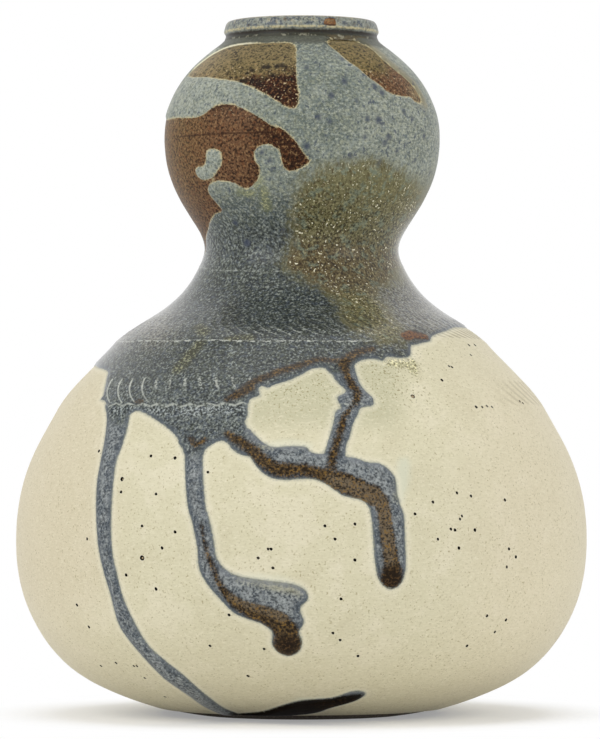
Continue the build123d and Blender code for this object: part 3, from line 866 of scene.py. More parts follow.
def makeLip(setup):
    section = smoothLine(np.array(setup["section"]), True)[:-1]
    piece = turnedRing("lipRim", section, setup["steps"])
    points = readPoints(piece)
    turn, way = turnAndWay(points)
    radius = np.hypot(points[:, 0], points[:, 1]) / mm
    height = points[:, 2] / mm
    dents = softNoise(turn, radius, height, setup["unevenSize"], seed=4.0)
    uneven = setup["uneven"] * dents - setup["worn"]
    spot = placesOf([setup["chip"]])[0]
    aside = (turn - spot[0]) * radius / setup["chipSize"]
    above = (height - heightAt(spot[1])) / setup["chipSize"] * setup["chipFlat"]
    power = setup["chipSquare"]
    apart = (aside ** power + above ** power) ** (1 / power)
    ragged = setup["chipRagged"] * softNoise(turn, radius, height, setup["chipGrain"], seed=7.0)
    bruise = smoothStep(*setup["chipWall"], apart + ragged)
    worn = radius + uneven - setup["chipDepth"] * bruise
    out = np.where(radius > setup["outerFrom"], worn, radius)
    points[:, 0] = np.sin(turn) * out * mm
    points[:, 1] = -np.cos(turn) * out * mm
    writePoints(piece, points)
    writeDepths(piece, {"chip": bruise})
    return finishPiece(piece)


lipRim = makeLip(lipSetup)
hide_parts("blue_glaze")


# Ash flow: the olive ash glaze that ran down from the bulb over the waist
ashSheet = {
    "turns": (-16, 64), "heights": (158, 238), "cell": 0.9, "thickness": 0.7,
    "rise": 0.76, "sunk": -0.42, "overlap": 0.8, "rimWidth": 4,      # its rim lies on the blue, not in it
}
ashGlaze = glazeSheet("ashGlaze", ashSheet, partial(depthInside, line=ashLine), coatProfile)
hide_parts("ash_glaze_flow")

# Runs: blue glaze that ran down over the cream coat in thick beads
runSetup = {
    "cell": 0.8, "thickness": 0.8, "rise": 0.95, "sunk": 0.3, "overlap": 0.8, "rimWidth": 4.0,
    "poolRise": 0.25, "marginUp": 1.5, "marginAside": 2,
}


def makeRun(name, line, setup):
    # its sheet is just as wide and tall as its outline
    turns = np.degrees([line[:, 0].min(), line[:, 0].max()])
    low, high = line[:, 1].min() - setup["marginUp"], line[:, 1].max() + setup["marginUp"]
    heights = heightAt(np.array([low, high]))
    margin = math.degrees(setup["marginAside"] / radiusAt(heights).mean())
    room = {"turns": (turns[0] - margin, turns[1] + margin), "heights": tuple(heights)}
    return glazeSheet(name, setup | room, partial(depthInside, line=line), beadProfile)


runPieces = []
for nodeName, line in runLines.items():
    first, *others = nodeName.split("_")
    run = makeRun(first + "".join(word.title() for word in others), line, runSetup)
    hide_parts(nodeName)
    runPieces.append(run)
print("glaze coats modelled")


def linear(colour):
    # an sRGB hex value as linear red, green, blue
    parts = [int(colour[i:i + 2], 16) / 255 for i in (1, 3, 5)]
    return [part / 12.92 if part <= 0.04045 else ((part + 0.055) / 1.055) ** 2.4 for part in parts] + [1]


def put(tree, kind, links, out=0, **settings):
    # one node, with its settings and what goes into it; gives back one of its outputs, if it has any.
    # A Mix takes how much at 0, two numbers at 2 and 3 or two colours at 6 and 7; its colour leaves at 2.
    node = tree.nodes.new(kind)
    for key, value in settings.items():
        setattr(node, key, value)
    for socket, value in links.items():
        if isinstance(value, bpy.types.NodeSocket):
            tree.links.new(value, node.inputs[socket])
        else:
            node.inputs[socket].default_value = value
    return node.outputs[out] if node.outputs else None


# Patterns of the fired surface: size in mm, how often it is broken up, and how much taller than wide.
# Grain in a real glaze is finer than a tenth of a mm: here it is as coarse as it needs to show.
patterns = {
    "grain": (1.05, 2, 1), "grit": (1.0, 1, 1), "tint": (1.7, 2, 1), "flecks": (0.85, 0, 1),
    "spots": (2.3, 2, 1.2), "mottle": (4.5, 3, 1), "cloud": (19, 2, 1), "drizzle": (0.9, 2, 7),
    "rings": (2.2, 2, 0.3),
}


patternRoughness = 0.66                     # how strong the finer steps of each pattern are
clearCoat = {"Coat Roughness": 0.2, "Coat IOR": 1.22}


def layer(colour, share, *where, **sheen):
    # a colour laid over what is below it, up to its share, where all of its zones hold: each zone is
    # (source, start, end), from none of it to all of it, and then sources that make its edge ragged, with
    # how much each does so; sheen is a roughness or specular of its own
    return {"colour": colour, "share": share, "where": where, "sheen": sheen}


def layeredMaterial(name, base, layers, roughness, bump, specular=0.2, gloss=()):
    # base is one colour, or colours that change with height; gloss is where a clear coat shines
    material = bpy.data.materials.new(name)
    material.use_nodes = True
    tree = material.node_tree
    tree.nodes.clear()
    place = put(tree, "ShaderNodeTexCoord", {}, out=3)      # 3 is Object
    placeInMm = put(tree, "ShaderNodeVectorMath", {0: place, 3: 1 / mm}, operation="SCALE")
    axes = put(tree, "ShaderNodeSeparateXYZ", {0: placeInMm}).node.outputs
    sources = {"side": axes[0], "front": axes[1], "height": axes[2]}

    def source(key):
        # a pattern, the ridges between pressed marks, a direction or one of the piece's own attributes
        if key in sources:
            return sources[key]
        if key in patterns:
            size, detail, stretch = patterns[key]
            shrink = (1 / size, 1 / size, 1 / size / stretch)
            where = put(tree, "ShaderNodeVectorMath", {0: placeInMm, 1: shrink}, operation="MULTIPLY")
            links = {"Vector": where, "Scale": 1, "Detail": detail, "Roughness": patternRoughness}
            sources[key] = put(tree, "ShaderNodeTexNoise", links)
        elif key == "markRidge":
            back = put(tree, "ShaderNodeMath", {0: axes[1], 1: -1}, operation="MULTIPLY")
            turn = put(tree, "ShaderNodeMath", {0: axes[0], 1: back}, operation="ARCTAN2")
            links = {0: turn, 1: relief["markCount"] / (2 * math.pi), 2: source("markLean")}
            marks = put(tree, "ShaderNodeMath", links, operation="MULTIPLY_ADD")
            phase = put(tree, "ShaderNodeMath", {0: marks}, operation="FRACT")
            aside = put(tree, "ShaderNodeMath", {0: phase, 1: 0.5}, operation="SUBTRACT")
            sources[key] = put(tree, "ShaderNodeMath", {0: aside}, operation="ABSOLUTE")
        else:
            sources[key] = put(tree, "ShaderNodeAttribute", {}, out=2, attribute_name=key)
        return sources[key]

    def maskOf(where, share):
        mask = share
        for key, start, end, *ragged in where:
            value = source(key)
            for raggedKey, amount in zip(ragged[::2], ragged[1::2]):
                links = {0: source(raggedKey), 1: amount, 2: value}
                value = put(tree, "ShaderNodeMath", links, operation="MULTIPLY_ADD")
            shift = sum(ragged[1::2]) / 2
            links = {0: value, 1: start + shift, 2: end + shift}
            part = put(tree, "ShaderNodeMapRange", links, interpolation_type="SMOOTHSTEP")
            mask = put(tree, "ShaderNodeMath", {0: part, 1: mask}, operation="MULTIPLY")
        return mask

    heights = [(0, base)] if isinstance(base, str) else base
    colour = linear(heights[0][1])
    for (low, _), (high, above) in zip(heights, heights[1:]):
        rise = put(tree, "ShaderNodeMapRange", {0: axes[2], 1: low, 2: high})
        colour = put(tree, "ShaderNodeMix", {0: rise, 6: colour, 7: linear(above)}, out=2, data_type="RGBA")
    sheen = {"roughness": roughness, "specular": specular}
    for coat in layers:
        mask = maskOf(coat["where"], coat["share"])
        laid = linear(coat["colour"])
        colour = put(tree, "ShaderNodeMix", {0: mask, 6: colour, 7: laid}, out=2, data_type="RGBA")
        for key, amount in coat["sheen"].items():
            sheen[key] = put(tree, "ShaderNodeMix", {0: mask, 2: sheen[key], 3: amount}, data_type="FLOAT")
    height = 0
    for key, amount in bump.items():
        links = {0: source(key), 1: amount, 2: height}
        height = put(tree, "ShaderNodeMath", links, operation="MULTIPLY_ADD")
    links = {"Base Color": colour, "Roughness": sheen["roughness"], "Specular IOR Level": sheen["specular"]}
    if gloss:
        links |= clearCoat | {"Coat Weight": maskOf(gloss, 1)}
    links["Normal"] = put(tree, "ShaderNodeBump", {"Height": height, "Strength": 1, "Distance": mm})
    surface = put(tree, "ShaderNodeBsdfPrincipled", links)
    put(tree, "ShaderNodeOutputMaterial", {0: surface})
    return material


def dress(piece, material):
    piece.data.materials.clear()
    piece.data.materials.append(material)
    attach(piece, "root")


# Ash flow, where it lies over the blue: olive with brown mottling and pale crystals, with painted glints on
# the crystals
ashLayers = [
    layer("#77745A", 0.7, ("side", 24, 40, "mottle", 10, "drizzle", 8),
        ("height", 240, 216, "mottle", 12, "cloud", 30), ("height", 180, 194, "mottle", 10, "cloud", 24),
        ("front", 30, -4, "drizzle", 10, "cloud", 30)),
    layer("#6F6A45", 0.9, ("ashEdge", -6, 5, "mottle", 15, "drizzle", 8)),
    layer("#58492C", 0.85, ("ashEdge", -2, 3, "mottle", 6), ("height", 208, 198, "mottle", 8),
        ("height", 176, 186, "mottle", 8)),
    layer("#3F2E18", 0.65, ("ashEdge", -2, 2, "mottle", 6), ("drizzle", 0.5, 0.62)),
    layer("#8F8A64", 0.5, ("side", 16, 34), ("drizzle", 0.52, 0.62), ("height", 236, 220),
        ("height", 180, 192), ("front", 20, 0)),
    layer("#3A331F", 0.5, ("side", 22, 36), ("drizzle", 0.48, 0.38), ("height", 226, 210),
        ("height", 184, 194), ("front", 20, 0)),
    layer("#74806F", 0.6, ("ashEdge", -2, 2, "mottle", 6), ("mottle", 0.47, 0.36)),
    layer("#161006", 0.8, ("ashEdge", -2, 5, "mottle", 6), ("grain", 0.5, 0.38), ("height", 238, 210)),
    layer("#B9B084", 0.4, ("ashEdge", -3, 3), ("grain", 0.55, 0.68)),
    # pale crystals, whitened further as painted glints
    layer("#F4EFD2", 0.9, ("ashEdge", -4, 3), ("flecks", 0.7, 0.75), ("mottle", 0.46, 0.58),
        roughness=0.25),
]

# White lines where the glaze broke over the seams and over the ridges between the pressed marks; on the
# marks these pale ridges and the dark dents are also painted highlight and painted shade
lineLayers = [
    layer("#C9CCC1", 0.75, ("shoulderLine", -0.55, -0.15, "markRidge", 1.1, "grain", 1.4),
        ("shoulderLine", 0.45, 0.1, "grain", 1.4), ("tint", 0.42, 0.52), ("side", 34, 26)),
    layer("#A9AEA5", 0.6, ("waistLine", -0.5, -0.1, "grit", 0.5), ("waistLine", 0.5, 0.1, "grit", 0.5),
        ("tint", 0.44, 0.56), ("side", -2, -10)),
    layer("#B9BDB2", 0.7, ("bowlLine", -0.7, -0.2, "markRidge", 2.6, "grain", 1.6),
        ("bowlLine", 0.7, 0.2, "markRidge", 2.6, "grain", 1.6), ("tint", 0.4, 0.52)),
    layer("#AFB6B4", 0.6, ("bowlLine", -4.5, -2.5, "spots", 3), ("bowlLine", 0.4, -0.4),
        ("grain", 0.5, 0.6)),
    # pressed marks: pale ridges and dark dents, partly the glaze breaking and pooling, partly painted
    # highlight and painted shade on the relief; the last pale band, near the left silhouette, is painted
    # sheen
    layer("#C3C6BB", 0.7, ("markRidge", 0.38, 0.46, "grain", 0.2), ("markBand", 0.1, 0.4),
        ("tint", 0.42, 0.56), ("side", -10, -18), ("height", 139, 141), ("height", 150, 146)),
    layer("#B9BDB2", 0.6, ("markRidge", 0.4, 0.47, "grain", 0.2), ("markBand", 0.1, 0.4),
        ("tint", 0.38, 0.52), ("side", -34, -22), ("side", 34, 28), ("height", 156, 160),
        ("height", 167, 164)),
    layer("#1D2120", 0.5, ("markRidge", 0.24, 0.08), ("markBand", 0.1, 0.5), ("side", -34, -22),
        ("side", 34, 28), ("height", 156, 160)),
    layer("#C3C6BB", 0.6, ("markRidge", 0.4, 0.48), ("markBand", 0.1, 0.5), ("side", -60, -68),
        ("height", 150, 146)),
]

# Brown cores and dark pools of the runs, and the slate line along each run's lower edge
coreLayers = [
    layer("#414A54", 0.65, ("flowEdge", 2.4, 0.2, "mottle", 5, "tint", 3), ("blueEdge", 5, 0),
        ("edgeBelow", -0.5, 0.6)),
    layer("#93979A", 0.5, ("flowEdge", 2.8, 0.2, "mottle", 5, "grain", 3), ("blueEdge", 3, -1),
        ("edgeBelow", -0.2, -0.7)),
    layer("#9DA2A1", 0.35, ("flowEdge", 3.0, 4.6, "mottle", 3), ("blueEdge", 2, -3), ("grain", 0.42, 0.58)),
    layer("#434D59", 0.32, ("flowEdge", 2.4, 0.4, "mottle", 4, "grain", 4), ("blueEdge", 3, -1)),
    layer("#35373A", 0.75, ("coreEdge", -1.6, 0.8, "grit", 2.4, "mottle", 2.4)),
    layer("#45351D", 0.88, ("coreEdge", -0.6, 1.6, "grit", 3, "mottle", 3), specular=0.08),
    layer("#7A4A26", 0.7, ("coreEdge", -0.4, 1.0, "grit", 2), ("side", 36, 41), ("height", 156, 158)),
    layer("#716553", 0.8, ("paleEdge", -0.8, 1.4, "grain", 4), ("coreEdge", -0.8, 0.6, "grit", 2)),
    layer("#4A3E30", 0.6, ("paleEdge", -0.8, 1.4), ("coreEdge", -0.8, 0.6), ("tint", 0.5, 0.6)),
    layer("#0F0A06", 0.75, ("coreEdge", -1.0, 0.8), ("grain", 0.5, 0.4)),
    layer("#86662F", 0.65, ("coreEdge", -0.8, 0.8), ("grain", 0.53, 0.65)),
    layer("#20160C", 0.92, ("poolEdge", -0.8, 3.4, "mottle", 3), specular=0.08),
    layer("#5A4328", 0.6, ("poolEdge", -1, 1), ("grain", 0.52, 0.64)),
    layer("#140F0B", 0.97, ("runEdge", -0.4, 0.6, "grit", 1.6),
        ("height", 11.6, 9.8, "side", -0.12, "mottle", 2), ("side", -34, -26, "mottle", 6),
        ("side", 29, 24, "mottle", 4), specular=0.0),
    layer("#4A3826", 0.4, ("runEdge", 0.6, 2), ("height", 10, 8, "side", -0.12, "mottle", 4),
        ("side", 4, 12), ("tint", 0.5, 0.6), specular=0.0),
]

blueLayers = [
    layer("#7B776A", 0.9, ("side", 22, 38, "mottle", 8), ("height", 150, 166), ("height", 204, 190)),
    layer("#9CA093", 0.85, ("side", -12, -40, "cloud", 12), ("height", 222, 234)),
    layer("#8C9185", 0.7, ("side", 14, 34, "cloud", 12), ("height", 226, 240)),
    layer("#656C63", 0.75, ("side", -8, 0, "cloud", 8), ("side", 26, 12, "cloud", 8), ("height", 236, 254)),
    # painted sheen: a pale warm band along the left silhouette of the shoulder
    layer("#AFA897", 0.5, ("side", -46, -66, "cloud", 10), ("height", 152, 166), ("height", 208, 192)),
    layer("#55524A", 0.4, ("rings", 0.53, 0.62), ("side", -40, -60), ("height", 156, 166),
        ("height", 206, 190)),
    layer("#4E463C", 0.35, ("rings", 0.53, 0.62), ("side", 40, 58), ("height", 156, 166),
        ("height", 206, 190)),
    layer("#454B48", 0.6, ("cloud", 0.5, 0.64), ("height", 196, 180)),
    layer("#A2A79B", 0.45, ("cloud", 0.5, 0.64), ("height", 222, 236)),
    layer("#5E6864", 0.5, ("mottle", 0.5, 0.64), ("height", 200, 224)),
    layer("#A9AF9F", 0.4, ("rings", 0.53, 0.64), ("height", 200, 224)),
    layer("#545E5D", 0.45, ("rings", 0.48, 0.38), ("side", 18, 44), ("height", 232, 242),
        ("height", 276, 266)),
    layer("#A9AA9A", 0.4, ("rings", 0.52, 0.62), ("side", 18, 44), ("height", 232, 242),
        ("height", 276, 266)),
    layer("#6A746E", 0.4, ("rings", 0.47, 0.36), ("height", 200, 224)),
    layer("#3F4A5A", 0.55, ("tint", 0.52, 0.64), ("height", 226, 200)),
    layer("#565A42", 0.35, ("tint", 0.47, 0.36), ("height", 226, 200)),
    layer("#667379", 0.35, ("tint", 0.52, 0.64), ("height", 204, 222)),
    layer("#A5A78D", 0.4, ("tint", 0.47, 0.36), ("height", 204, 222)),
    layer("#0D1112", 0.82, ("grain", 0.51, 0.4), ("height", 226, 204)),
    layer("#B4BAB2", 0.5, ("grain", 0.54, 0.67), ("height", 226, 204)),
    layer("#37413E", 0.55, ("grain", 0.48, 0.36), ("height", 204, 220)),
    layer("#C2C6B8", 0.42, ("grain", 0.54, 0.67), ("height", 204, 220)),
    layer("#3A4252", 0.7, ("spots", 0.61, 0.69), ("height", 206, 226)),
    layer("#343C50", 0.8, ("inkEdge", -1.0, 0.8, "grain", 1.6)),
    layer("#8B8368", 0.75, ("patchEdge", -7, -2, "mottle", 8), ("side", 20, 30),
        ("height", 305, 310, "side", 0.9)),
    layer("#46473B", 0.8, ("height", 286.4, 288.2, "mottle", 2)),
    layer("#4B5360", 0.55, ("spots", 0.55, 0.66), ("height", 214, 232), ("side", 4, 34),
        ("mottle", 0.44, 0.56)),
    layer("#2B323B", 0.65, ("spots", 0.6, 0.69), ("height", 208, 196)),
    layer("#7A7F80", 0.9, ("blueEdge", 3, -3, "mottle", 3)),
    layer("#454E58", 0.65, ("blueEdge", 1, -3), ("mottle", 0.48, 0.6)),
    layer("#9A9E9F", 0.5, ("blueEdge", 1, -3), ("mottle", 0.46, 0.36)),
    layer("#1B2024", 0.6, ("blueEdge", 1, -3), ("grain", 0.49, 0.39)),
    layer("#B3B8B6", 0.5, ("blueEdge", 1, -3), ("grain", 0.54, 0.68)),
] + ashLayers + [
    layer("#34331A", 0.9, ("oliveEdge", -2.5, 0.5, "mottle", 4, "grit", 3), ("grain", 0.6, 0.46)),
    layer("#97945E", 0.6, ("oliveEdge", -2.5, 0.5, "mottle", 4), ("grain", 0.52, 0.64)),
    layer("#7D8057", 0.5, ("crystalEdge", -2, 1, "grit", 5)),
    layer("#BDB983", 0.55, ("crystalEdge", -1.5, 0.5), ("grain", 0.54, 0.64)),
    layer("#B0AD92", 0.6, ("hazeEdge", -1.2, 3.0, "grain", 8)),
] + lineLayers + coreLayers + [
    layer("#C3B88F", 0.75, ("patchEdge", -0.7, -0.2, "grain", 3, "tint", 2), ("mottle", 0.42, 0.54)),
    layer("#C3B88F", 0.4, ("patchEdge", -0.3, 0.1, "tint", 2)),
    # painted highlight: a bright line along the upper edge of the upper left patch, where the thick edge of
    # the blue glaze catches the light
    layer("#F0EACB", 0.7, ("patchEdge", -1.2, -0.6, "tint", 1), ("side", -16, -26), ("height", 277.5, 279)),
    layer("#A6A896", 0.65, ("flowEdge", 0.7, -0.3, "grain", 2.4)),
]
blueBase = [
    (100, "#636969"), (131, "#616765"), (140, "#585E5A"), (152, "#484D47"), (176, "#454B48"),
    (190, "#50564F"), (200, "#5A605C"), (214, "#5A615D"), (221, "#656B64"), (225, "#7D8378"),
    (250, "#7D8377"), (281, "#787E73"), (286, "#56574B"), (289, "#3F4037"),
]

# Stoneware glaze, matt to satin, poured and fired in a reduced kiln: a soft sheen and a fine broken grain
shoulderSheen = [("height", 226, 200), ("height", 120, 140)]
blueBump = {"grain": 0.05, "mottle": 0.1}
blueGlaze = layeredMaterial("blueStonewareGlaze", blueBase, blueLayers, 0.42, blueBump, 0.15, shoulderSheen)
# The same glaze where it ran thick: glossier
runBump = {"grain": 0.04, "mottle": 0.1}
runGlaze = layeredMaterial("runnyBlueGlaze", blueBase, blueLayers, 0.34, runBump, 0.12)
# Ash glaze over it: the fine crystals that grew as it cooled make it rougher to the eye
ashBump = {"grain": 0.07, "flecks": 0.08}
ashFinish = layeredMaterial("crystallineAshGlaze", blueBase, blueLayers, 0.4, ashBump, 0.15, shoulderSheen)

# Cream stoneware glaze: eggshell surface, faint throwing rings, fine iron specks and burst pinholes
creamLayers = [
    layer("#DFD8BE", 0.6, ("cloud", 0.5, 0.66)),
    layer("#CDC6A8", 0.5, ("cloud", 0.48, 0.34)),
    # painted sheen: the cream turns warmer and a little lighter towards the right and left silhouettes
    layer("#DDD1B6", 0.6, ("side", 40, 100)),
    layer("#DACEB4", 0.6, ("side", -60, -115)),
    # painted shade: the cream darker towards the bottom, where the belly turns under
    layer("#D3CAAC", 0.6, ("height", 60, 8)),
    layer("#BDBA9B", 0.8, ("side", -30, -18), ("side", 48, 34), ("height", 118, 130), ("height", 164, 156)),
    layer("#CFC4A8", 0.5, ("side", -70, -90), ("height", 40, 60)),
    layer("#E6DFC6", 0.4, ("rings", 0.54, 0.66)),
    layer("#C6BE9F", 0.35, ("rings", 0.46, 0.34)),
    layer("#B4AB88", 0.4, ("grit", 0.4, 0.3)),
    layer("#EAE4CE", 0.4, ("grain", 0.6, 0.7)),
    layer("#9C8F68", 0.6, ("flecks", 0.27, 0.23)),
    layer("#8E8660", 0.6, ("flecks", 0.35, 0.3), ("side", -20, -10), ("side", 60, 44),
        ("height", 128, 138), ("height", 160, 154)),
    # pressed marks on the cream: darker dents and paler ridges, partly the glaze pooling and breaking,
    # partly painted shade and painted highlight on the relief
    layer("#8F8468", 0.6, ("markRidge", 0.3, 0.12), ("markBand", 0.1, 0.5), ("side", 46, 58),
        ("height", 150, 156)),
    layer("#E9E3CC", 0.5, ("markRidge", 0.36, 0.46), ("markBand", 0.1, 0.5), ("side", 46, 58),
        ("height", 150, 156)),
    layer("#A79D7E", 0.45, ("markRidge", 0.3, 0.12), ("markBand", 0.1, 0.6), ("side", 78, 94),
        ("height", 156, 150)),
    layer("#A7A37E", 0.6, ("oliveEdge", -1.5, 0.8, "grit", 3)),
    layer("#5F5A33", 0.85, ("oliveEdge", -1.8, 0.4), ("grain", 0.5, 0.42)),
    layer("#F0E9BC", 0.85, ("oliveEdge", -1.5, 0.4), ("flecks", 0.58, 0.66)),
    layer("#CFD2BE", 0.6, ("hazeEdge", -2.5, 2, "mottle", 3)),
    layer("#E9E3CC", 0.35, ("flowEdge", -3.4, -1.2, "grain", 1.6)),
    layer("#8F938A", 0.6, ("flowEdge", -1.3, 0.3, "grain", 2.6)),
    layer("#EFE9D6", 0.6, ("pit", 0.005, 0.06)),
    layer("#0C0906", 1, ("pit", 0.07, 0.2), roughness=0.9, specular=0.02),
]
creamBump = {"grit": 0.04, "mottle": 0.08}
creamFinish = layeredMaterial("creamStonewareGlaze", "#D5CFB1", creamLayers, 0.5, creamBump)

# Iron slip, brushed on and fired satin: dark red-brown, olive where it is thickest, with pale flecks
ironLayers = [
    layer("#705733", 0.85, ("side", -34, -56, "mottle", 6), ("height", 262, 256)),
    layer("#331B0D", 0.88, ("side", -28, -10, "mottle", 10), ("height", 262, 256)),
    layer("#2A0F05", 0.95, ("height", 256, 262)),
    layer("#6F5138", 0.85, ("side", 10, 24), ("height", 256, 262)),
    layer("#746642", 1, ("height", 273.5, 278.5, "side", -0.2, "mottle", 12), ("side", 0, -3)),
    layer("#70623B", 1, ("height", 270, 276, "mottle", 12), ("side", 0, 3), ("side", 40, 34, "mottle", 8)),
    layer("#93825E", 0.8, ("side", -26, -44, "mottle", 6), ("height", 262, 270)),
    layer("#93825E", 0.7, ("side", 43, 50, "mottle", 5), ("height", 256, 262)),
    layer("#6F4326", 0.5, ("tint", 0.52, 0.64), ("height", 278, 270)),
    layer("#0C0603", 0.78, ("grain", 0.5, 0.39)),
    layer("#B08F62", 0.42, ("grain", 0.55, 0.68)),
    layer("#1E120A", 0.85, ("spots", 0.39, 0.33), ("height", 262, 270)),
    layer("#D9C69C", 0.6, ("flecks", 0.71, 0.77), ("height", 250, 262), ("height", 284, 272)),
    layer("#120A06", 0.9, ("burntEdge", -0.6, 0.4, "grain", 1)),
    layer("#2A1409", 0.6, ("height", 247.3, 247.8), ("height", 248.6, 248.1), ("side", -54, -50),
        ("side", -6, -16)),
    layer("#8A7F62", 0.6, ("height", 286, 290)),
    layer("#C3B68C", 0.5, ("patchEdge", 0.4, 0.1, "tint", 2.0), ("patchEdge", -1.6, -0.9),
        ("spots", 0.4, 0.5)),
]
ironBump = {"grain": 0.06, "flecks": 0.05}
ironFinish = layeredMaterial("ironBrownSlip", "#6A4D36", ironLayers, 0.42, ironBump, 0.1)

# The same stoneware glaze on the lip: it breaks yellowish over the crest, with a painted highlight along
# it, and pools dark in the groove, which is deepened with painted shade under the lip's roll
lipLayers = [
    # the dark neck band below the crest: glaze pooled in the groove, deepened with painted shade under the
    # lip's roll
    layer("#262820", 0.94, ("height", 294.2, 293.2, "mottle", 1.4)),
    layer("#3A392B", 0.8, ("height", 292.8, 291.6, "mottle", 1.4)),
    layer("#5E5238", 0.8, ("height", 292.0, 291.0, "mottle", 1.4), ("side", 9, 14, "mottle", 5),
        ("side", 30, 26)),
    layer("#A2A08A", 0.6, ("height", 292.4, 291.4), ("spots", 0.56, 0.64)),
    layer("#241C10", 0.85, ("height", 294.3, 293.5, "spots", 1.6), ("height", 292.0, 292.8, "spots", 1.2)),
    # the crest line: the glaze breaking thin over it, brightened as a painted highlight
    layer("#CDC196", 0.8, ("height", 294.2, 294.7, "spots", 1.0), ("height", 295.7, 295.2, "spots", 1.0),
        ("tint", 0.38, 0.5)),
    layer("#3C4656", 0.75, ("height", 295.4, 296.2), ("spots", 0.5, 0.58)),
    layer("#5F4E36", 0.7, ("height", 295.4, 296.2), ("mottle", 0.56, 0.64)),
    layer("#B8B091", 0.6, ("height", 295.4, 296.2), ("mottle", 0.44, 0.34)),
    layer("#B3A784", 0.7, ("height", 299.2, 299.8, "spots", 0.8)),
    layer("#1F2326", 0.5, ("grain", 0.48, 0.38)),
    layer("#BFC2B6", 0.35, ("grain", 0.55, 0.68), ("height", 293, 294.4)),
    layer("#6E4723", 0.95, ("chip", 0.1, 0.4)),
    layer("#A67C48", 0.6, ("chip", 0.3, 0.7), ("grit", 0.5, 0.6)),
    layer("#2B190C", 0.9, ("chip", 0.1, 0.4), ("height", 298.2, 298.8)),
    layer("#2B190C", 0.8, ("chip", 0.1, 0.4), ("height", 296.4, 295.9)),
]
lipFinish = layeredMaterial("blueGlazeOnLip", "#868A80", lipLayers, 0.34, blueBump)

for piece, material, slot in [
    (creamGlaze, creamFinish, "cream_glaze"), (ironSlip, ironFinish, "iron_slip"),
    (blueBulb, blueGlaze, "blue_glaze"), (blueShoulder, blueGlaze, "blue_glaze"),
    (lipRim, lipFinish, "blue_glaze"), (ashGlaze, ashFinish, "ash_glaze"),
] + [(run, runGlaze, "run_glaze") for run in runPieces]:
    dress(piece, material)

# Stoneware clay, unglazed on the foot ring: gritty and dry, toasted buff with iron specks
clayLayers = [
    # painted shadow: the lowest band of the foot ring is near-black, standing in for the contact shadow
    # under the base
    layer("#2A2018", 0.9, ("height", 3.4, 2.6)),
    layer("#A8987A", 0.6, ("mottle", 0.5, 0.66), ("height", 2, 4)),
    layer("#6F5C42", 0.7, ("grain", 0.4, 0.3)),
    layer("#C9BB9C", 0.5, ("grit", 0.58, 0.7)),
]
clayBump = {"grain": 0.12, "grit": 0.1}
clayFinish = layeredMaterial("buffStonewareClay", "#96866A", clayLayers, 0.85, clayBump, 0.3)
# Slip that joins the sections: the same clay, sieved finer, so it is smoother
slipLayers = [layer("#7F7058", 0.6, ("mottle", 0.5, 0.64))]
slipBump = {"grit": 0.06}
slipFinish = layeredMaterial("joiningSlip", "#93846A", slipLayers, 0.8, slipBump, 0.3)
# Liner: plain satin glaze poured inside and out again, grey-buff, thin enough to show the throwing rings
linerLayers = [
    layer("#8B8370", 0.6, ("mottle", 0.5, 0.66)),
    layer("#857C62", 0.6, ("height", 284, 296, "mottle", 6)),
    layer("#4E4636", 0.6, ("grain", 0.42, 0.32)),
]
linerBump = {"mottle": 0.1, "rings": 0.1}
linerFinish = layeredMaterial("plainLinerGlaze", "#7B7463", linerLayers, 0.4, linerBump)
nodeFinishes = {
    "lower_bowl": clayFinish, "shoulder_section": clayFinish, "upper_bulb": clayFinish,
    "collar": clayFinish, "bowl_seam_coil": clayFinish, "waist_seam_coil": clayFinish,
    "bowl_seam_slip": slipFinish, "waist_seam_slip": slipFinish, "collar_seam_slip": slipFinish,
    "liner_glaze": linerFinish,
}
for nodeName, finish in nodeFinishes.items():
    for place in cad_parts[nodeName].material_slots:
        place.material = finish
print("materials laid on")


# Studio: white table and surround, soft light from all sides with a little more from the upper left;
# lengths in m, power in W
studio = {
    "floorSize": 12.0, "shadowFrom": 0.075, "shadowTo": 0.15, "shadowFill": 0.3, "floorColour": "#FFFFFF",
    "surround": 0.62, "aim": (0, 0, 0.15),
    "lamps": {
        "leftTent": {"place": (-1.5, -1.3, 1.5), "size": 1.4, "power": 17},
        "rightTent": {"place": (1.6, -1.0, 1.0), "size": 1.2, "power": 8},
        "topTent": {"place": (0.0, 0.2, 1.9), "size": 1.4, "power": 7},
    },
}


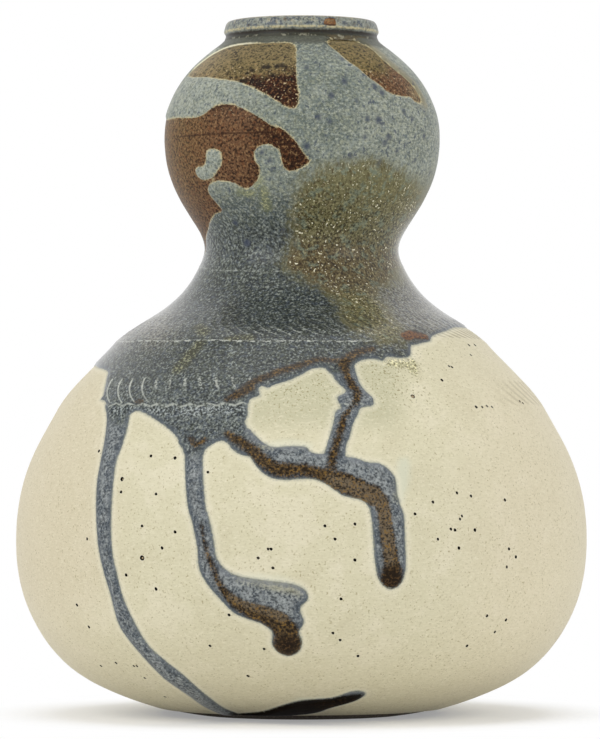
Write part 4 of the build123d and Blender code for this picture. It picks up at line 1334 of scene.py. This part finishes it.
def seenDirectly(tree):
    # 1 for what the camera or a reflection sees, 0 for what only lights the vase
    rays = put(tree, "ShaderNodeLightPath", {}).node.outputs
    links = {0: rays["Is Camera Ray"], 1: rays["Is Glossy Ray"]}
    return put(tree, "ShaderNodeMath", links, operation="MAXIMUM")


def makeStudio(setup):
    selectNone()
    bpy.ops.mesh.primitive_plane_add(size=setup["floorSize"], location=(0, 0, 0))
    floor = bpy.context.object
    floor.name = floor.data.name = "studioFloor"
    material = bpy.data.materials.new("whiteTable")
    material.use_nodes = True
    tree = material.node_tree
    tree.nodes.clear()
    place = put(tree, "ShaderNodeTexCoord", {}, out=3)
    away = put(tree, "ShaderNodeVectorMath", {0: place}, out=1, operation="LENGTH")
    links = {0: away, 1: setup["shadowFrom"], 2: setup["shadowTo"]}
    far = put(tree, "ShaderNodeMapRange", links, interpolation_type="SMOOTHSTEP")
    some = put(tree, "ShaderNodeMath", {0: far, 1: setup["shadowFill"]}, operation="MAXIMUM")
    white = put(tree, "ShaderNodeMath", {0: some, 1: seenDirectly(tree)}, operation="MULTIPLY")
    matt = put(tree, "ShaderNodeBsdfDiffuse", {0: linear(setup["floorColour"])})
    glow = put(tree, "ShaderNodeEmission", {0: linear("#FFFFFF")})
    mixed = put(tree, "ShaderNodeMixShader", {0: white, 1: matt, 2: glow})
    put(tree, "ShaderNodeOutputMaterial", {0: mixed})
    floor.data.materials.append(material)

    world = bpy.data.worlds.new("whiteSurround")
    world.use_nodes = True
    tree = world.node_tree
    tree.nodes.clear()
    strength = put(tree, "ShaderNodeMapRange", {0: seenDirectly(tree), 3: setup["surround"]})
    sky = put(tree, "ShaderNodeBackground", {0: linear("#FFFFFF"), 1: strength})
    put(tree, "ShaderNodeOutputWorld", {0: sky})
    scene.world = world

    for name, lamp in setup["lamps"].items():
        data = bpy.data.lights.new(name, "AREA")
        data.size = lamp["size"]
        data.energy = lamp["power"]
        light = bpy.data.objects.new(name, data)
        scene.collection.objects.link(light)
        place = Vector(lamp["place"])
        aim = (Vector(setup["aim"]) - place).to_track_quat("-Z", "Y")
        light.matrix_world = Matrix.Translation(place) @ aim.to_matrix().to_4x4()


makeStudio(studio)
scene.view_settings.view_transform = "Standard"
print("studio set")
